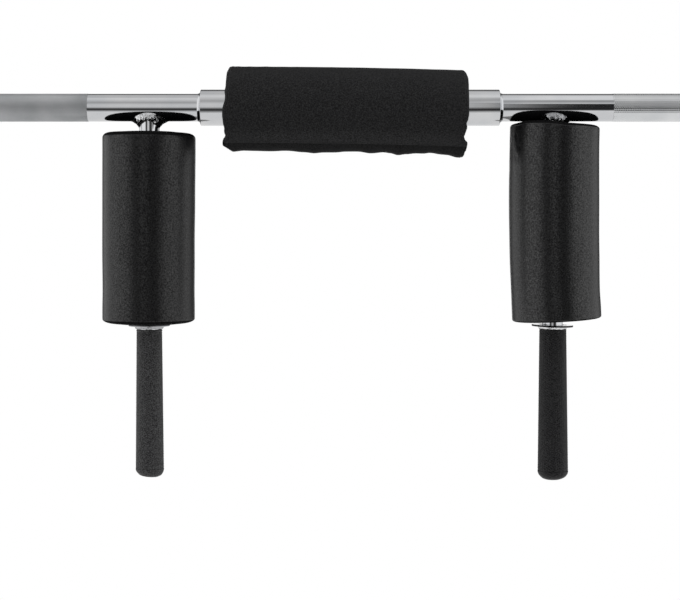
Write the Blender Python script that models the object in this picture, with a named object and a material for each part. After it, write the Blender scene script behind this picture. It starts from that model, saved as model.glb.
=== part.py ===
# Squat bar: a long bar with two hanging arms, foam shoulder rollers, rubber grips and a wrapped neck pad.
# X runs along the bar, Z is up, the arms hang down -Z. The origin is on the bar's axis at mid length.
import math

import bmesh
import bpy

mm = 0.001

# bar
bar_length = 2184.0
collar_spread = 1310.0
shaft_r = 15.0
knurl_r = 15.2
knurl_start = 287.0
knurl_margin = 15.0
ring_mark = 405.0
ring_mark_w = 3.0
step_w = 0.6
play = 0.3

# centre sleeve
centre_half = 165.5
centre_r = 19.05
centre_bevel = 2.4

# roller pads
pad_length = 206.9
right_pad_extra = 4.6
pad_r = {"left": 50.0, "right": 49.0}
pad_float = {"left": 0.5, "right": 4.6}
pad_headroom = 13.0
pad_mouth_wall = 4.3
pad_mouth_depth = 5.0
pad_edge_r = 3.6
pad_dome = 0.9
pad_flat_share = 0.6

# arms
arm_x = 219.0
rod_r = 11.0
rod_tip_bevel = 1.5
handle_length = 159.6
weld_leg_front = 4.8
weld_leg_side = 2.8
weld_leg_skew = 1.9
weld_leg_down = 6.5

# pad liners
liner_in_r = rod_r + 0.6
liner_t = 1.8
liner_out_r = liner_in_r + liner_t
liner_inset = 0.6
pad_bore_r = liner_out_r + play
pad_mouth_r = pad_bore_r + pad_mouth_wall

# pad stops
stop_top_z = -(shaft_r + pad_headroom + pad_length + pad_float["left"])
stop_t = 2.0
stop_low_z = stop_top_z - stop_t
stop_r = 22.4
stop_edge = 0.4
stop_weld_r = rod_r + 3.5
stop_weld_h = 1.4

# hand grips
rod_end_z = stop_low_z - handle_length
grip_gap = {"left": 1.1, "right": 0.3}
grip_short = {"left": 0.4, "right": 3.4}
grip_wall_top = {"left": 2.3, "right": 3.0}
grip_wall_low = {"left": 3.7, "right": 4.8}
grip_dome = {"left": 8.8, "right": 10.4}
grip_flat = {"left": 0.42, "right": 0.15}
grip_bore_r = rod_r + play
grip_wall_end = 3.6
grip_lip = 0.9

# neck pad
turn_steps = 30
step_deg = 360.0 / turn_steps
flap_steps = 5
first_deg = 3.0
neck_left = -136.0
neck_right = 127.6
foam_r = 43.4
foam_in_r = centre_r + 0.4
cover_gap = 0.3
cover_t = 1.1
hem_t = 0.5
strip_t = 0.7
strip_gap = 0.2
strip_inset = 14.0
overlap_dip = 2.0
overlap_rise = 1.2
sag_left = 0.7
sag_more = 5.7
pucker_h = 0.65
pucker_pitch = 72.0

# loading ends
journal_r = 12.5
bush_in_r = journal_r + 0.4
tube_out_r = 25.0
tube_wall = 6.0
tube_in_r = tube_out_r - tube_wall
tube_bevel = 1.5
bush_out_r = tube_in_r - play
bush_length = 40.0
collar_t = 30.0
collar_r = 37.5
collar_bevel = 1.5
collar_in_r = tube_out_r + play
collar_face = collar_spread / 2
knurl_end = collar_face - knurl_margin
thrust_t = 2.4
thrust_r = tube_out_r - 2.0
thrust_bevel = 0.4
cap_lip = 2.7
cap_depth = 12.0
tube_end = bar_length / 2 - cap_lip - play
bush_inset = 39.0
outer_bush_end = tube_end - bush_inset
washer_t = 2.5
ring_t = 1.6
ring_in_r = journal_r - 0.7
ring_out_r = journal_r + 3.3
shaft_past_bush = 10.0
shaft_end = outer_bush_end + shaft_past_bush

finishes = {
    "chrome": ((0.62, 0.63, 0.64, 1), 1.0, 0.08),
    "steel": ((0.42, 0.42, 0.43, 1), 1.0, 0.32),
    "bronze": ((0.50, 0.33, 0.15, 1), 1.0, 0.35),
    "foam": ((0.016, 0.016, 0.017, 1), 0.0, 0.55),
    "rubber": ((0.020, 0.020, 0.021, 1), 0.0, 0.6),
    "cloth": ((0.014, 0.014, 0.015, 1), 0.0, 0.85),
    "plastic": ((0.03, 0.03, 0.032, 1), 0.0, 0.4),
}


def clear_scene():
    for obj in list(bpy.data.objects):
        bpy.data.objects.remove(obj, do_unlink=True)


def finish_material(name, finish):
    colour, metal, rough = finishes[finish]
    material = bpy.data.materials.new(name)
    material.use_nodes = True
    shader = material.node_tree.nodes["Principled BSDF"]
    shader.inputs["Base Color"].default_value = colour
    shader.inputs["Metallic"].default_value = metal
    shader.inputs["Roughness"].default_value = rough
    return material


def add_piece(name, points, faces, finish, origin=(0.0, 0.0, 0.0), sharp_deg=35.0):
    """Closed solid from points in millimetres, with its object origin where it turns."""
    mesh = bpy.data.meshes.new(name)
    local = [tuple((p[k] - origin[k]) * mm for k in range(3)) for p in points]
    mesh.from_pydata(local, [], faces)
    work = bmesh.new()
    work.from_mesh(mesh)
    bmesh.ops.remove_doubles(work, verts=work.verts, dist=0.000001)
    bmesh.ops.recalc_face_normals(work, faces=work.faces)
    if work.calc_volume(signed=True) < 0:
        bmesh.ops.reverse_faces(work, faces=work.faces)
    work.to_mesh(mesh)
    work.free()
    mesh.materials.append(finish_material(name, finish))
    mesh.shade_smooth()
    mesh.set_sharp_from_angle(angle=math.radians(sharp_deg))
    obj = bpy.data.objects.new(name, mesh)
    obj.location = tuple(v * mm for v in origin)
    bpy.context.scene.collection.objects.link(obj)
    return obj


def round_point(along, r, angle, axis, centre_x):
    if axis == "X":
        return (along, r * math.sin(angle), r * math.cos(angle))
    return (centre_x + r * math.cos(angle), r * math.sin(angle), along)


def turned(name, profile, finish, axis="X", centre_x=0.0, sides=24, bored=False):
    """Turn a profile of (along, radius): a closed loop if bored, else from the axis back to it."""
    points = []
    faces = []
    rings = []
    for along, r in profile:
        if r < 0.0001:
            rings.append([len(points)])
            points.append(round_point(along, 0.0, 0.0, axis, centre_x))
            continue
        start = len(points)
        rings.append(list(range(start, start + sides)))
        for k in range(sides):
            points.append(round_point(along, r, 2 * math.pi * k / sides, axis, centre_x))
    pairs = list(zip(rings, rings[1:]))
    if bored:
        pairs.append((rings[-1], rings[0]))
    for a, b in pairs:
        faces += band(a, b, sides)
    origin = (centre_x, 0.0, 0.0) if axis == "Z" else (0.0, 0.0, 0.0)
    return add_piece(name, points, faces, finish, origin)


def band(a, b, sides):
    """Faces between two rings, either of which may be a single point."""
    faces = []
    for k in range(sides):
        n = (k + 1) % sides
        if len(a) == 1:
            faces.append((a[0], b[n], b[k]))
        elif len(b) == 1:
            faces.append((a[k], a[n], b[0]))
        else:
            faces.append((a[k], a[n], b[n], b[k]))
    return faces


def mirrored(profile, side):
    return [(side * x, r) for x, r in profile]


def both_ends(half):
    """A profile from mid length outwards, made to run the whole length."""
    return [(-x, r) for x, r in reversed(half)] + half


def ring_profile(start, end, r_in, r_out, bevel=0.0):
    if bevel <= 0:
        return [(start, r_in), (start, r_out), (end, r_out), (end, r_in)]
    return [
        (start, r_in),
        (start, r_out - bevel),
        (start + bevel, r_out),
        (end - bevel, r_out),
        (end, r_out - bevel),
        (end, r_in),
    ]


shoulder = collar_face - 2 * play - thrust_t
groove_start = outer_bush_end + play + washer_t
groove_end = groove_start + ring_t + 2 * play


def shaft():
    half = [
        (knurl_start - step_w, shaft_r),
        (knurl_start, knurl_r),
        (ring_mark - ring_mark_w / 2, knurl_r),
        (ring_mark - ring_mark_w / 2 + 0.2, shaft_r),
        (ring_mark + ring_mark_w / 2 - 0.2, shaft_r),
        (ring_mark + ring_mark_w / 2, knurl_r),
        (knurl_end, knurl_r),
        (knurl_end + step_w, shaft_r),
        (shoulder - 0.5, shaft_r),
        (shoulder, shaft_r - 0.5),
        (shoulder, journal_r),
        (groove_start, journal_r),
        (groove_start, ring_in_r - play),
        (groove_end, ring_in_r - play),
        (groove_end, journal_r),
        (shaft_end - 1.5, journal_r),
        (shaft_end, journal_r - 1.5),
        (shaft_end, 0.0),
    ]
    return turned("shaft", both_ends(half), "chrome")


def centre_sleeve():
    r_in = shaft_r + play
    half = [(centre_half - centre_bevel, centre_r), (centre_half, r_in + 0.4)]
    outside = both_ends(half)
    profile = outside + [(centre_half, r_in), (-centre_half, r_in)]
    return turned("centre_sleeve", profile, "chrome", bored=True)


def weld_leg(angle, side):
    """The fillet is longest on the side towards the bar's middle, as welded."""
    c = math.cos(angle) * -side
    return weld_leg_front + c * c * (weld_leg_side + weld_leg_skew * c)


def arm_rod(side, side_name):
    """Rod with a saddle top that follows the shaft, and the weld fillet round it."""
    sides = 24
    seat_r = shaft_r + play
    x0 = side * arm_x
    points = [(x0, 0.0, -seat_r)]
    faces = []
    rings = [[0]]
    shares = [0.25, 0.5, 0.75, 1.0]

    def saddle(angle, share):
        leg = weld_leg(angle, side)
        spread = math.asin(rod_r * math.sin(angle) / seat_r) + leg * math.sin(angle) / seat_r
        x = (rod_r + leg) * math.cos(angle) * share
        return (x0 + x, seat_r * math.sin(spread * share), -seat_r * math.cos(spread * share))

    def rod_top(angle):
        y = rod_r * math.sin(angle)
        return (x0 + rod_r * math.cos(angle), y, -math.sqrt(seat_r * seat_r - y * y))

    def fillet(angle, t):
        toe = saddle(angle, 1.0)
        corner = rod_top(angle)
        foot = (corner[0], corner[1], corner[2] - weld_leg_down)
        pull = [0.46 * corner[k] + 0.27 * (toe[k] + foot[k]) for k in range(3)]
        a, b, c = (1 - t) ** 2, 2 * t * (1 - t), t * t
        return tuple(a * toe[k] + b * pull[k] + c * foot[k] for k in range(3))

    def ring(make):
        start = len(points)
        rings.append(list(range(start, start + sides)))
        for k in range(sides):
            points.append(make(2 * math.pi * k / sides))

    def straight(r, z):
        return lambda angle: (x0 + r * math.cos(angle), r * math.sin(angle), z)

    for share in shares:
        ring(lambda angle, s=share: saddle(angle, s))
    for t in (0.35, 0.68, 1.0):
        ring(lambda angle, s=t: fillet(angle, s))
    ring(straight(rod_r, rod_end_z + rod_tip_bevel))
    ring(straight(rod_r - rod_tip_bevel, rod_end_z))
    rings.append([len(points)])
    points.append((x0, 0.0, rod_end_z))
    for a, b in zip(rings, rings[1:]):
        faces += band(a, b, sides)
    return add_piece(side_name + "_arm_rod", points, faces, "chrome")


def pad_stop(side, side_name):
    """Washer welded to the rod, with the weld ring under it."""
    r_in = rod_r + play
    profile = [
        (stop_top_z, r_in),
        (stop_top_z, stop_r - stop_edge),
        (stop_top_z - stop_edge, stop_r),
        (stop_low_z + stop_edge, stop_r),
        (stop_low_z, stop_r - stop_edge),
        (stop_low_z, stop_weld_r),
        (stop_low_z - 0.65 * stop_weld_h, stop_weld_r - 0.7),
        (stop_low_z - stop_weld_h, r_in + 0.6),
        (stop_low_z - stop_weld_h, r_in),
    ]
    return turned(side_name + "_pad_stop", profile, "chrome", "Z", side * arm_x, 28, True)


def grip(side, side_name):
    """Closed-end rubber grip, thicker towards the end of the rod, with a domed tip."""
    top = stop_low_z - stop_weld_h - grip_gap[side_name]
    bore_end = rod_end_z - grip_short[side_name]
    bottom = bore_end - grip_wall_end
    r_top = grip_bore_r + grip_wall_top[side_name]
    r_low = grip_bore_r + grip_wall_low[side_name]
    mid_r = r_top + 0.55 * (r_low - r_top)
    dome = grip_dome[side_name]
    flat = grip_flat[side_name] * r_low
    profile = [
        (bore_end, 0.0),
        (bore_end, grip_bore_r),
        (top, grip_bore_r),
        (top, r_top - grip_lip),
        (top - grip_lip, r_top),
        (0.55 * top + 0.45 * bottom, mid_r),
        (bottom + 1.5 * dome, r_low),
    ]
    for deg in (0, 25, 50, 72, 90):
        turn = math.radians(deg)
        profile.append((bottom + dome * (1 - math.sin(turn)), flat + (r_low - flat) * math.cos(turn)))
    profile.append((bottom, 0.0))
    return turned(side_name + "_grip", profile, "rubber", "Z", side * arm_x)


def pad_span(side_name):
    """Bottom and top of a roller pad, which stands on its stop."""
    bottom = stop_top_z + pad_float[side_name]
    extra = right_pad_extra if side_name == "right" else 0.0
    return bottom, bottom + pad_length + extra


def roller_pad(side, side_name):
    """Foam tube with rounded rims and a small mouth that clears the arm's weld."""
    bottom, top = pad_span(side_name)
    r = pad_r[side_name]
    rim = []
    for k in range(4):
        turn = math.radians(90 - 30 * k)
        rim.append((pad_edge_r * (1 - math.sin(turn)), r - pad_edge_r * (1 - math.cos(turn))))
    upper = [(top - pad_dome - down, rr) for down, rr in rim]
    lower = [(bottom + pad_dome + down, rr) for down, rr in reversed(rim)]
    profile = [(top - pad_mouth_depth, pad_bore_r), (top, pad_mouth_r), (top, pad_flat_share * r)]
    profile += upper + lower
    profile += [(bottom, pad_flat_share * r), (bottom, pad_mouth_r), (bottom + pad_mouth_depth, pad_bore_r)]
    return turned(side_name + "_roller_pad", profile, "foam", "Z", side * arm_x, 28, True)


def pad_liner(side, side_name):
    bottom, top = pad_span(side_name)
    inset = pad_mouth_depth + liner_inset
    profile = ring_profile(bottom + inset, top - inset, liner_in_r, liner_out_r)
    return turned(side_name + "_pad_liner", profile, "plastic", "Z", side * arm_x, 28, True)


def sag(x):
    """The soft pad droops a little towards its right end."""
    t = (x - neck_left) / (neck_right - neck_left)
    return -sag_left - sag_more * t * t


def cover_lift(step):
    """The first layer lies in the foam's dip; the flap rises over it and the closure strips."""
    if step <= flap_steps:
        return -overlap_dip
    if step == flap_steps + 1:
        return -overlap_dip / 2
    climb = {-2: 0.15, -1: 0.6}.get(step - turn_steps, 1.0 if step >= turn_steps else 0.0)
    return overlap_rise * climb


def foam_lift(step):
    """The foam is pressed in under the overlap."""
    turn = step % turn_steps
    if turn <= flap_steps:
        return -overlap_dip
    return {flap_steps + 1: -overlap_dip / 2, turn_steps - 1: -0.4 * overlap_dip}.get(turn, 0.0)


def pucker(step, x):
    """Loose cloth gathers into shallow folds along the underside."""
    deg = first_deg - step * step_deg
    away = abs((deg + 95.0 + 180.0) % 360.0 - 180.0)
    reach = max(0.0, 1.0 - away / 45.0)
    wave = 2 * math.pi * x / pucker_pitch
    return pucker_h * reach * (1 + math.sin(wave + 0.6 * math.sin(0.4 * wave)))


def neck_point(step, r, x, drop=None):
    angle = math.radians(first_deg - step * step_deg)
    fall = sag(x) if drop is None else drop
    return (x, -r * math.cos(angle), r * math.sin(angle) + fall)


def slab(name, steps, stations, inner, outer, finish, sharp_deg=50.0):
    """A curved sheet with thickness: one grid inside, one outside, closed round its four edges."""
    points = []
    faces = []
    rows, cols = len(steps), len(stations)
    for make in (inner, outer):
        for i, step in enumerate(steps):
            for j, station in enumerate(stations):
                points.append(make(step, j, station))
    total = rows * cols

    def at(layer, i, j):
        return layer * total + i * cols + j

    for i in range(rows - 1):
        for j in range(cols - 1):
            quad = [(i, j), (i + 1, j), (i + 1, j + 1), (i, j + 1)]
            faces.append(tuple(at(1, a, b) for a, b in quad))
            faces.append(tuple(at(0, a, b) for a, b in reversed(quad)))
    for j in range(cols - 1):
        faces.append((at(0, 0, j), at(1, 0, j), at(1, 0, j + 1), at(0, 0, j + 1)))
        faces.append((at(0, rows - 1, j + 1), at(1, rows - 1, j + 1), at(1, rows - 1, j), at(0, rows - 1, j)))
    for i in range(rows - 1):
        faces.append((at(0, i + 1, 0), at(1, i + 1, 0), at(1, i, 0), at(0, i, 0)))
        faces.append((at(0, i, cols - 1), at(1, i, cols - 1), at(1, i + 1, cols - 1), at(0, i + 1, cols - 1)))
    return add_piece(name, points, faces, finish, sharp_deg=sharp_deg)


end_curve = [(0.0, -8.4), (1.6, -4.0), (4.2, -1.1), (8.5, 0.0)]


def cover_stations():
    left = [(neck_left + d, drop) for d, drop in end_curve]
    right = [(neck_right - d, drop) for d, drop in reversed(end_curve)]
    run = (right[0][0] - left[-1][0]) / 7
    middle = [(left[-1][0] + run * k, 0.0) for k in range(1, 7)]
    return left + middle + right


def neck_cover():
    last = turn_steps + flap_steps

    def radius(step, x, drop):
        return foam_r + cover_gap + cover_lift(step) + drop + pucker(step, x)

    def inner(step, j, station):
        x, drop = station
        return neck_point(step, radius(step, x, drop), x)

    def outer(step, j, station):
        x, drop = station
        hem = hem_t if step >= last - 1 else 0.0
        return neck_point(step, radius(step, x, drop) + cover_t + hem, x)

    return slab("neck_cover", list(range(last + 1)), cover_stations(), inner, outer, "cloth")


def neck_foam():
    """Foam tube under the cover, slit along its underside so that it slips over the bar."""
    slit = 8
    steps = [slit + 0.05] + list(range(slit + 1, slit + turn_steps)) + [slit + turn_steps - 0.05]
    ends = 0.5
    rows = []
    for x, drop in cover_stations():
        inward = ends if x < -100 else -ends
        rows.append((x + (inward if drop < 0 else 0.0), drop))
    left_face = [(neck_left - 1.4, -21.0), (neck_left - 0.7, -13.0)]
    right_face = [(neck_right + 0.7, -13.0), (neck_right + 1.4, -21.0)]
    stations = left_face + rows + right_face
    first, last = stations[0][0], stations[-1][0]

    def inner(step, j, station):
        x = first + (last - first) * j / (len(stations) - 1)
        return neck_point(step, foam_in_r, x, 0.0)

    def outer(step, j, station):
        x, drop = station
        lift = foam_lift(round(step)) * (1.0 if drop > -10 else 0.3)
        fall = sag(x) * (1.0 if drop > -10 else 0.75 if drop > -20 else 0.3)
        return neck_point(step, foam_r + lift + drop, x, fall)

    return slab("neck_foam", steps, stations, inner, outer, "foam")


def closure_strip(name, r_in):
    """One curved strip of the closure, between the two layers of the overlap."""
    start, stop = neck_left + strip_inset, neck_right - strip_inset
    stations = [start + (stop - start) * k / 4 for k in range(5)]
    steps = list(range(1, flap_steps))

    def inner(step, j, x):
        return neck_point(step, r_in, x)

    def outer(step, j, x):
        return neck_point(step, r_in + strip_t, x)

    return slab(name, steps, stations, inner, outer, "cloth")


def closure():
    loop_r = foam_r - overlap_dip + cover_gap + cover_t + strip_gap
    closure_strip("loop_strip", loop_r)
    closure_strip("hook_strip", loop_r + strip_t + strip_gap)


def snap_ring(side, side_name):
    """Open ring in the shaft's groove."""
    start = groove_start + play
    stop = start + ring_t
    corners = ((start, ring_in_r), (start, ring_out_r), (stop, ring_out_r), (stop, ring_in_r))
    count = 16
    points = []
    for k in range(count + 1):
        angle = math.radians(25 + 310 * k / count)
        for along, r in corners:
            points.append((side * along, r * math.sin(angle), r * math.cos(angle)))
    faces = [(0, 1, 2, 3), tuple(4 * count + k for k in (3, 2, 1, 0))]
    for k in range(count):
        for c in range(4):
            d = (c + 1) % 4
            faces.append((4 * k + c, 4 * k + d, 4 * k + 4 + d, 4 * k + 4 + c))
    return add_piece(side_name + "_snap_ring", points, faces, "steel")


def loading_end(side, side_name):
    """Everything that turns or holds the sleeve at one end of the bar."""
    tube = [
        (collar_face, tube_in_r),
        (collar_face, tube_out_r),
        (tube_end - tube_bevel, tube_out_r),
        (tube_end, tube_out_r - tube_bevel),
        (tube_end, tube_in_r),
    ]
    cap_in = tube_end - cap_depth
    end = bar_length / 2
    cap = [
        (cap_in, 0.0),
        (cap_in, bush_out_r - 1.0),
        (cap_in + 1.0, bush_out_r),
        (tube_end + play, bush_out_r),
        (tube_end + play, tube_out_r - 0.8),
        (end - 0.8, tube_out_r - 0.8),
        (end, tube_out_r - 1.6),
        (end, 0.0),
    ]
    thrust_start = shoulder + play
    bush_start = collar_face + 1
    rings = {
        "thrust_washer": (thrust_start, thrust_start + thrust_t, bush_in_r, thrust_r, thrust_bevel, "bronze"),
        "collar": (collar_face, collar_face + collar_t, collar_in_r, collar_r, collar_bevel, "chrome"),
        "inner_bushing": (bush_start, bush_start + bush_length, bush_in_r, bush_out_r, 0.0, "bronze"),
        "outer_bushing": (outer_bush_end - bush_length, outer_bush_end, bush_in_r, bush_out_r, 0.0, "bronze"),
        "retaining_washer": (outer_bush_end + play, groove_start, bush_in_r, bush_out_r, 0.0, "steel"),
    }
    turned(side_name + "_sleeve_tube", mirrored(tube, side), "chrome", bored=True, sides=28)
    turned(side_name + "_end_cap", mirrored(cap, side), "plastic", sides=28)
    for name, (start, stop, r_in, r_out, bevel, finish) in rings.items():
        profile = mirrored(ring_profile(start, stop, r_in, r_out, bevel), side)
        turned(side_name + "_" + name, profile, finish, bored=True, sides=28)
    snap_ring(side, side_name)


def main():
    clear_scene()
    shaft()
    centre_sleeve()
    for side, side_name in ((-1, "left"), (1, "right")):
        arm_rod(side, side_name)
        pad_stop(side, side_name)
        grip(side, side_name)
        roller_pad(side, side_name)
        pad_liner(side, side_name)
        loading_end(side, side_name)
    neck_foam()
    neck_cover()
    closure()


main()
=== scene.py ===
import math

import bmesh
import bpy
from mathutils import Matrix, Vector, noise


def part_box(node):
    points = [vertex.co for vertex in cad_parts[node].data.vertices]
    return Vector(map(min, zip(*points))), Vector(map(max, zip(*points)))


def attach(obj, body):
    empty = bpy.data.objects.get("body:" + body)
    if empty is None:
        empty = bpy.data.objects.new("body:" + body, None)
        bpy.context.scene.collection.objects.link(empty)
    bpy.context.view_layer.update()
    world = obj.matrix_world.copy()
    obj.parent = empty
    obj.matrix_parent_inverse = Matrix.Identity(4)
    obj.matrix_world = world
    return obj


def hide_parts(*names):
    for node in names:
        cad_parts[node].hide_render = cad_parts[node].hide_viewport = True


# Squat bar: chrome bar with foam rollers on two hanging arms, rubber grips and a wrapped neck pad.
# Metres, X along the bar, Z up, the arms hang down -Z.
mm = 0.001
weldDistance = 0.001 * mm  # points nearer than this are one
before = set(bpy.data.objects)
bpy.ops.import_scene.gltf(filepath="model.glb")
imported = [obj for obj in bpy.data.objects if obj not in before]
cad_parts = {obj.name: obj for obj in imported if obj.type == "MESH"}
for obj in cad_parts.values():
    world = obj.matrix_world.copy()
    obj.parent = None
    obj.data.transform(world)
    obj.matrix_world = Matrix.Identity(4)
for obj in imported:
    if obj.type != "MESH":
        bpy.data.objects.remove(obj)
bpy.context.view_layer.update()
sides = {"left": -1, "right": 1}


# small tools

def linear(hexText):  # sRGB hex to the linear colour that shaders use
    parts = [int(hexText[k:k + 2], 16) / 255 for k in (1, 3, 5)]
    return tuple(p / 12.92 if p <= 0.04045 else ((p + 0.055) / 1.055) ** 2.4 for p in parts) + (1.0,)


def addNode(tree, kind, inputs=None, **settings):  # an input is a value to set or a socket to link
    node = tree.nodes.new(kind)
    for key, value in settings.items():
        setattr(node, key, value)
    for key, value in (inputs or {}).items():
        if isinstance(value, bpy.types.NodeSocket):
            tree.links.new(value, node.inputs[key])
        else:
            node.inputs[key].default_value = value
    return node


def smooth(t):
    t = min(1.0, max(0.0, t))
    return t * t * (3 - 2 * t)


def fade(value, start, width):  # rises smoothly from 0 at the start to 1
    return smooth((value - start) / width)


def between(table, value):  # smooth path through (place, size) pairs in rising order of place
    if value <= table[0][0]:
        return table[0][1]
    for (a, low), (b, high) in zip(table, table[1:]):
        if value <= b:
            return low + (high - low) * smooth((value - a) / (b - a))
    return table[-1][1]


def addPiece(name, points, faces, material, sharpDeg=35.0, uv=None):
    mesh = bpy.data.meshes.new(name)
    mesh.from_pydata(points, [], faces)
    if uv:
        layer = mesh.uv_layers.new(name="cloth")
        for loop in mesh.loops:
            layer.data[loop.index].uv = uv[loop.vertex_index]
    work = bmesh.new()
    work.from_mesh(mesh)
    bmesh.ops.remove_doubles(work, verts=work.verts, dist=weldDistance)
    bmesh.ops.recalc_face_normals(work, faces=work.faces)
    if work.calc_volume(signed=True) < 0:
        bmesh.ops.reverse_faces(work, faces=work.faces)
    work.to_mesh(mesh)
    work.free()
    mesh.materials.append(material)
    mesh.shade_smooth()
    mesh.set_sharp_from_angle(angle=math.radians(sharpDeg))
    piece = bpy.data.objects.new(name, mesh)
    bpy.context.scene.collection.objects.link(piece)
    return piece


def place(piece, body, slot, *nodes):  # what it moves with, its finish, which is not used, and the solids it stands for
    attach(piece, body)
    if nodes:
        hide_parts(*nodes)


def lofted(rows, ring=False):  # faces between rows of points that go once round; a row of one point is a pole
    points, spans, faces = [], [], []
    for row in rows:
        spans.append(range(len(points), len(points) + len(row)))
        points += row
    pairs = list(zip(spans, spans[1:])) + ([(spans[-1], spans[0])] if ring else [])
    for low, high in pairs:
        count = max(len(low), len(high))
        for k in range(count):
            n = (k + 1) % count
            corners = [low[k % len(low)], low[n % len(low)], high[n % len(high)], high[k % len(high)]]
            faces.append(tuple(dict.fromkeys(corners)))
    return points, faces


def turned(profile, axis="X", centre=0.0, count=96, ring=False):  # profile of (along, radius)
    rows = []
    for along, r in profile:
        row = []
        for k in range(1 if r < weldDistance else count):
            turn = 2 * math.pi * k / count
            a, b = r * math.cos(turn), r * math.sin(turn)
            row.append((along, b, a) if axis == "X" else (centre + a, b, along))
        rows.append(row)
    return lofted(rows, ring)


easing = {
    "flatDeg": 160,  # a corner flatter than this is left alone
    "share": 0.4,  # of the shorter side that an arc may take
    "steps": 3,
    "keep": (0.05, 4 * mm),  # points beside an arc keep long faces shaded flat: share of the side and its limit
}


def eased(profile, r, ring=False):  # small arcs at the corners, so that edges catch a line of light
    result, steps, (share, limit) = [], easing["steps"], easing["keep"]
    for k, corner in enumerate(profile):
        here = Vector(corner)
        before = Vector(profile[k - 1]) - here
        after = Vector(profile[(k + 1) % len(profile)]) - here
        if (not ring and k in (0, len(profile) - 1)) or before.angle(after) > math.radians(easing["flatDeg"]):
            result.append(corner)
            continue
        cut = min(r, easing["share"] * before.length, easing["share"] * after.length)
        start, end = here + before.normalized() * cut, here + after.normalized() * cut
        result.append(tuple(start + before * share * min(1.0, limit / before.length)))
        for s in range(steps + 1):
            t = s / steps
            result.append(tuple((1 - t) ** 2 * start + 2 * t * (1 - t) * here + t * t * end))
        result.append(tuple(end + after * share * min(1.0, limit / after.length)))
    return result


def joined(name, parts, material, sharpDeg=35.0):  # several (points, faces) as one piece
    points, faces = [], []
    for morePoints, moreFaces in parts:
        first = len(points)
        points += morePoints
        faces += [tuple(first + k for k in face) for face in moreFaces]
    return addPiece(name, points, faces, material, sharpDeg)


def newTree(name, inputs):  # a Geometry Nodes tree with named inputs and one mesh as its result
    tree = bpy.data.node_groups.new(name, "GeometryNodeTree")
    for label, kind in inputs:
        tree.interface.new_socket(name=label, in_out="INPUT", socket_type="NodeSocket" + kind)
    tree.interface.new_socket(name="Mesh", in_out="OUTPUT", socket_type="NodeSocketGeometry")
    return tree, addNode(tree, "NodeGroupInput").outputs


def endTree(tree, shape, material):
    real = addNode(tree, "GeometryNodeRealizeInstances", {0: shape})
    coated = addNode(tree, "GeometryNodeSetMaterial", {"Geometry": real.outputs[0], "Material": material})
    addNode(tree, "NodeGroupOutput", {0: coated.outputs[0]})


def grown(tree, values, base=None):  # runs a Geometry Nodes tree once and gives its plain mesh as points and faces
    carrier = bpy.data.objects.new(tree.name, base or bpy.data.meshes.new(tree.name))
    bpy.context.scene.collection.objects.link(carrier)
    modifier = carrier.modifiers.new(tree.name, "NODES")
    modifier.node_group = tree
    for item in tree.interface.items_tree:
        if item.in_out == "INPUT" and item.name in values:
            modifier[item.identifier] = values[item.name]
    bpy.context.view_layer.update()
    depsgraph = bpy.context.evaluated_depsgraph_get()
    mesh = bpy.data.meshes.new_from_object(carrier.evaluated_get(depsgraph), depsgraph=depsgraph)
    carrier.modifiers.remove(modifier)
    bpy.data.objects.remove(carrier)
    return [tuple(v.co) for v in mesh.vertices], [tuple(f.vertices) for f in mesh.polygons]


# camera, light and floor

cameraView = {
    "place": (-11.8 * mm, -1800 * mm, -118.1 * mm),  # level, a little below the bar
    "lens": 87.67,
    "sensor": 36.0,
    "shiftUp": -0.123,  # the bar sits high in the frame
}


def makeCamera():
    data = bpy.data.cameras.new("camera")
    data.lens = cameraView["lens"]
    data.sensor_width = cameraView["sensor"]
    data.shift_y = cameraView["shiftUp"]
    camera = bpy.data.objects.new("camera", data)
    camera.location = cameraView["place"]
    camera.rotation_euler = (math.radians(90), 0, 0)
    bpy.context.scene.collection.objects.link(camera)
    bpy.context.scene.camera = camera


# The studio by its angle above the horizon in front: pale sweep below, dark room behind the camera,
# front softbox, a gap, overhead softbox, and the back wall fading behind. Brightness 1 is white.
studio = {
    "plain": [(-180, 0.3), (-150, 0.95), (-53, 0.97), (-37, 0.7), (-26, 0.26), (-21, 0.05), (-14, 0.04), (-9, 0.2),
              (1, 0.78), (20, 0.82), (40, 0.5), (54, 0.7), (76, 0.93), (96, 0.68), (125, 0.7), (150, 0.25), (180, 0.3)],
    "withStand": [(-180, 0.3), (-150, 0.95), (-53, 1.0), (-30, 0.95), (-25, 0.3), (-20, 0.02), (3, 0.03), (19, 0.01),
                  (26, 0.02), (30, 0.8), (38, 0.66), (47, 0.42), (57, 0.42), (68, 1.0), (106, 1.0), (133, 0.5),
                  (152, 0.25), (180, 0.3)],
    "beside": [(-180, 0.3), (-150, 0.95), (-53, 0.97), (-36, 0.5), (-24, 0.06), (30, 0.06), (52, 0.4), (76, 0.9),
               (96, 0.68), (125, 0.7), (150, 0.25), (180, 0.3)],
    "standEdge": (0.05, 0.14),  # how far to the right the dark stand begins
    "frontHalf": (0.24, 0.34),  # how far to each side the front softbox reaches
    "wings": (0.5, 0.72),  # how far to each side the wing softboxes begin
    "wingLevel": 1.15,
    "back": (0.45, 0.9),  # how far behind the bar the dark part of the room begins
    "backFoot": (-0.32, -0.12),  # it ends above the pale sweep
    "backSide": (-0.7, -0.5),  # and does not reach the far left
    "backLevel": 0.06,
    "backdrop": (0.955, 0.975),  # the white backdrop just fills the camera's view
    "level": 1.0,
}


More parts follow.
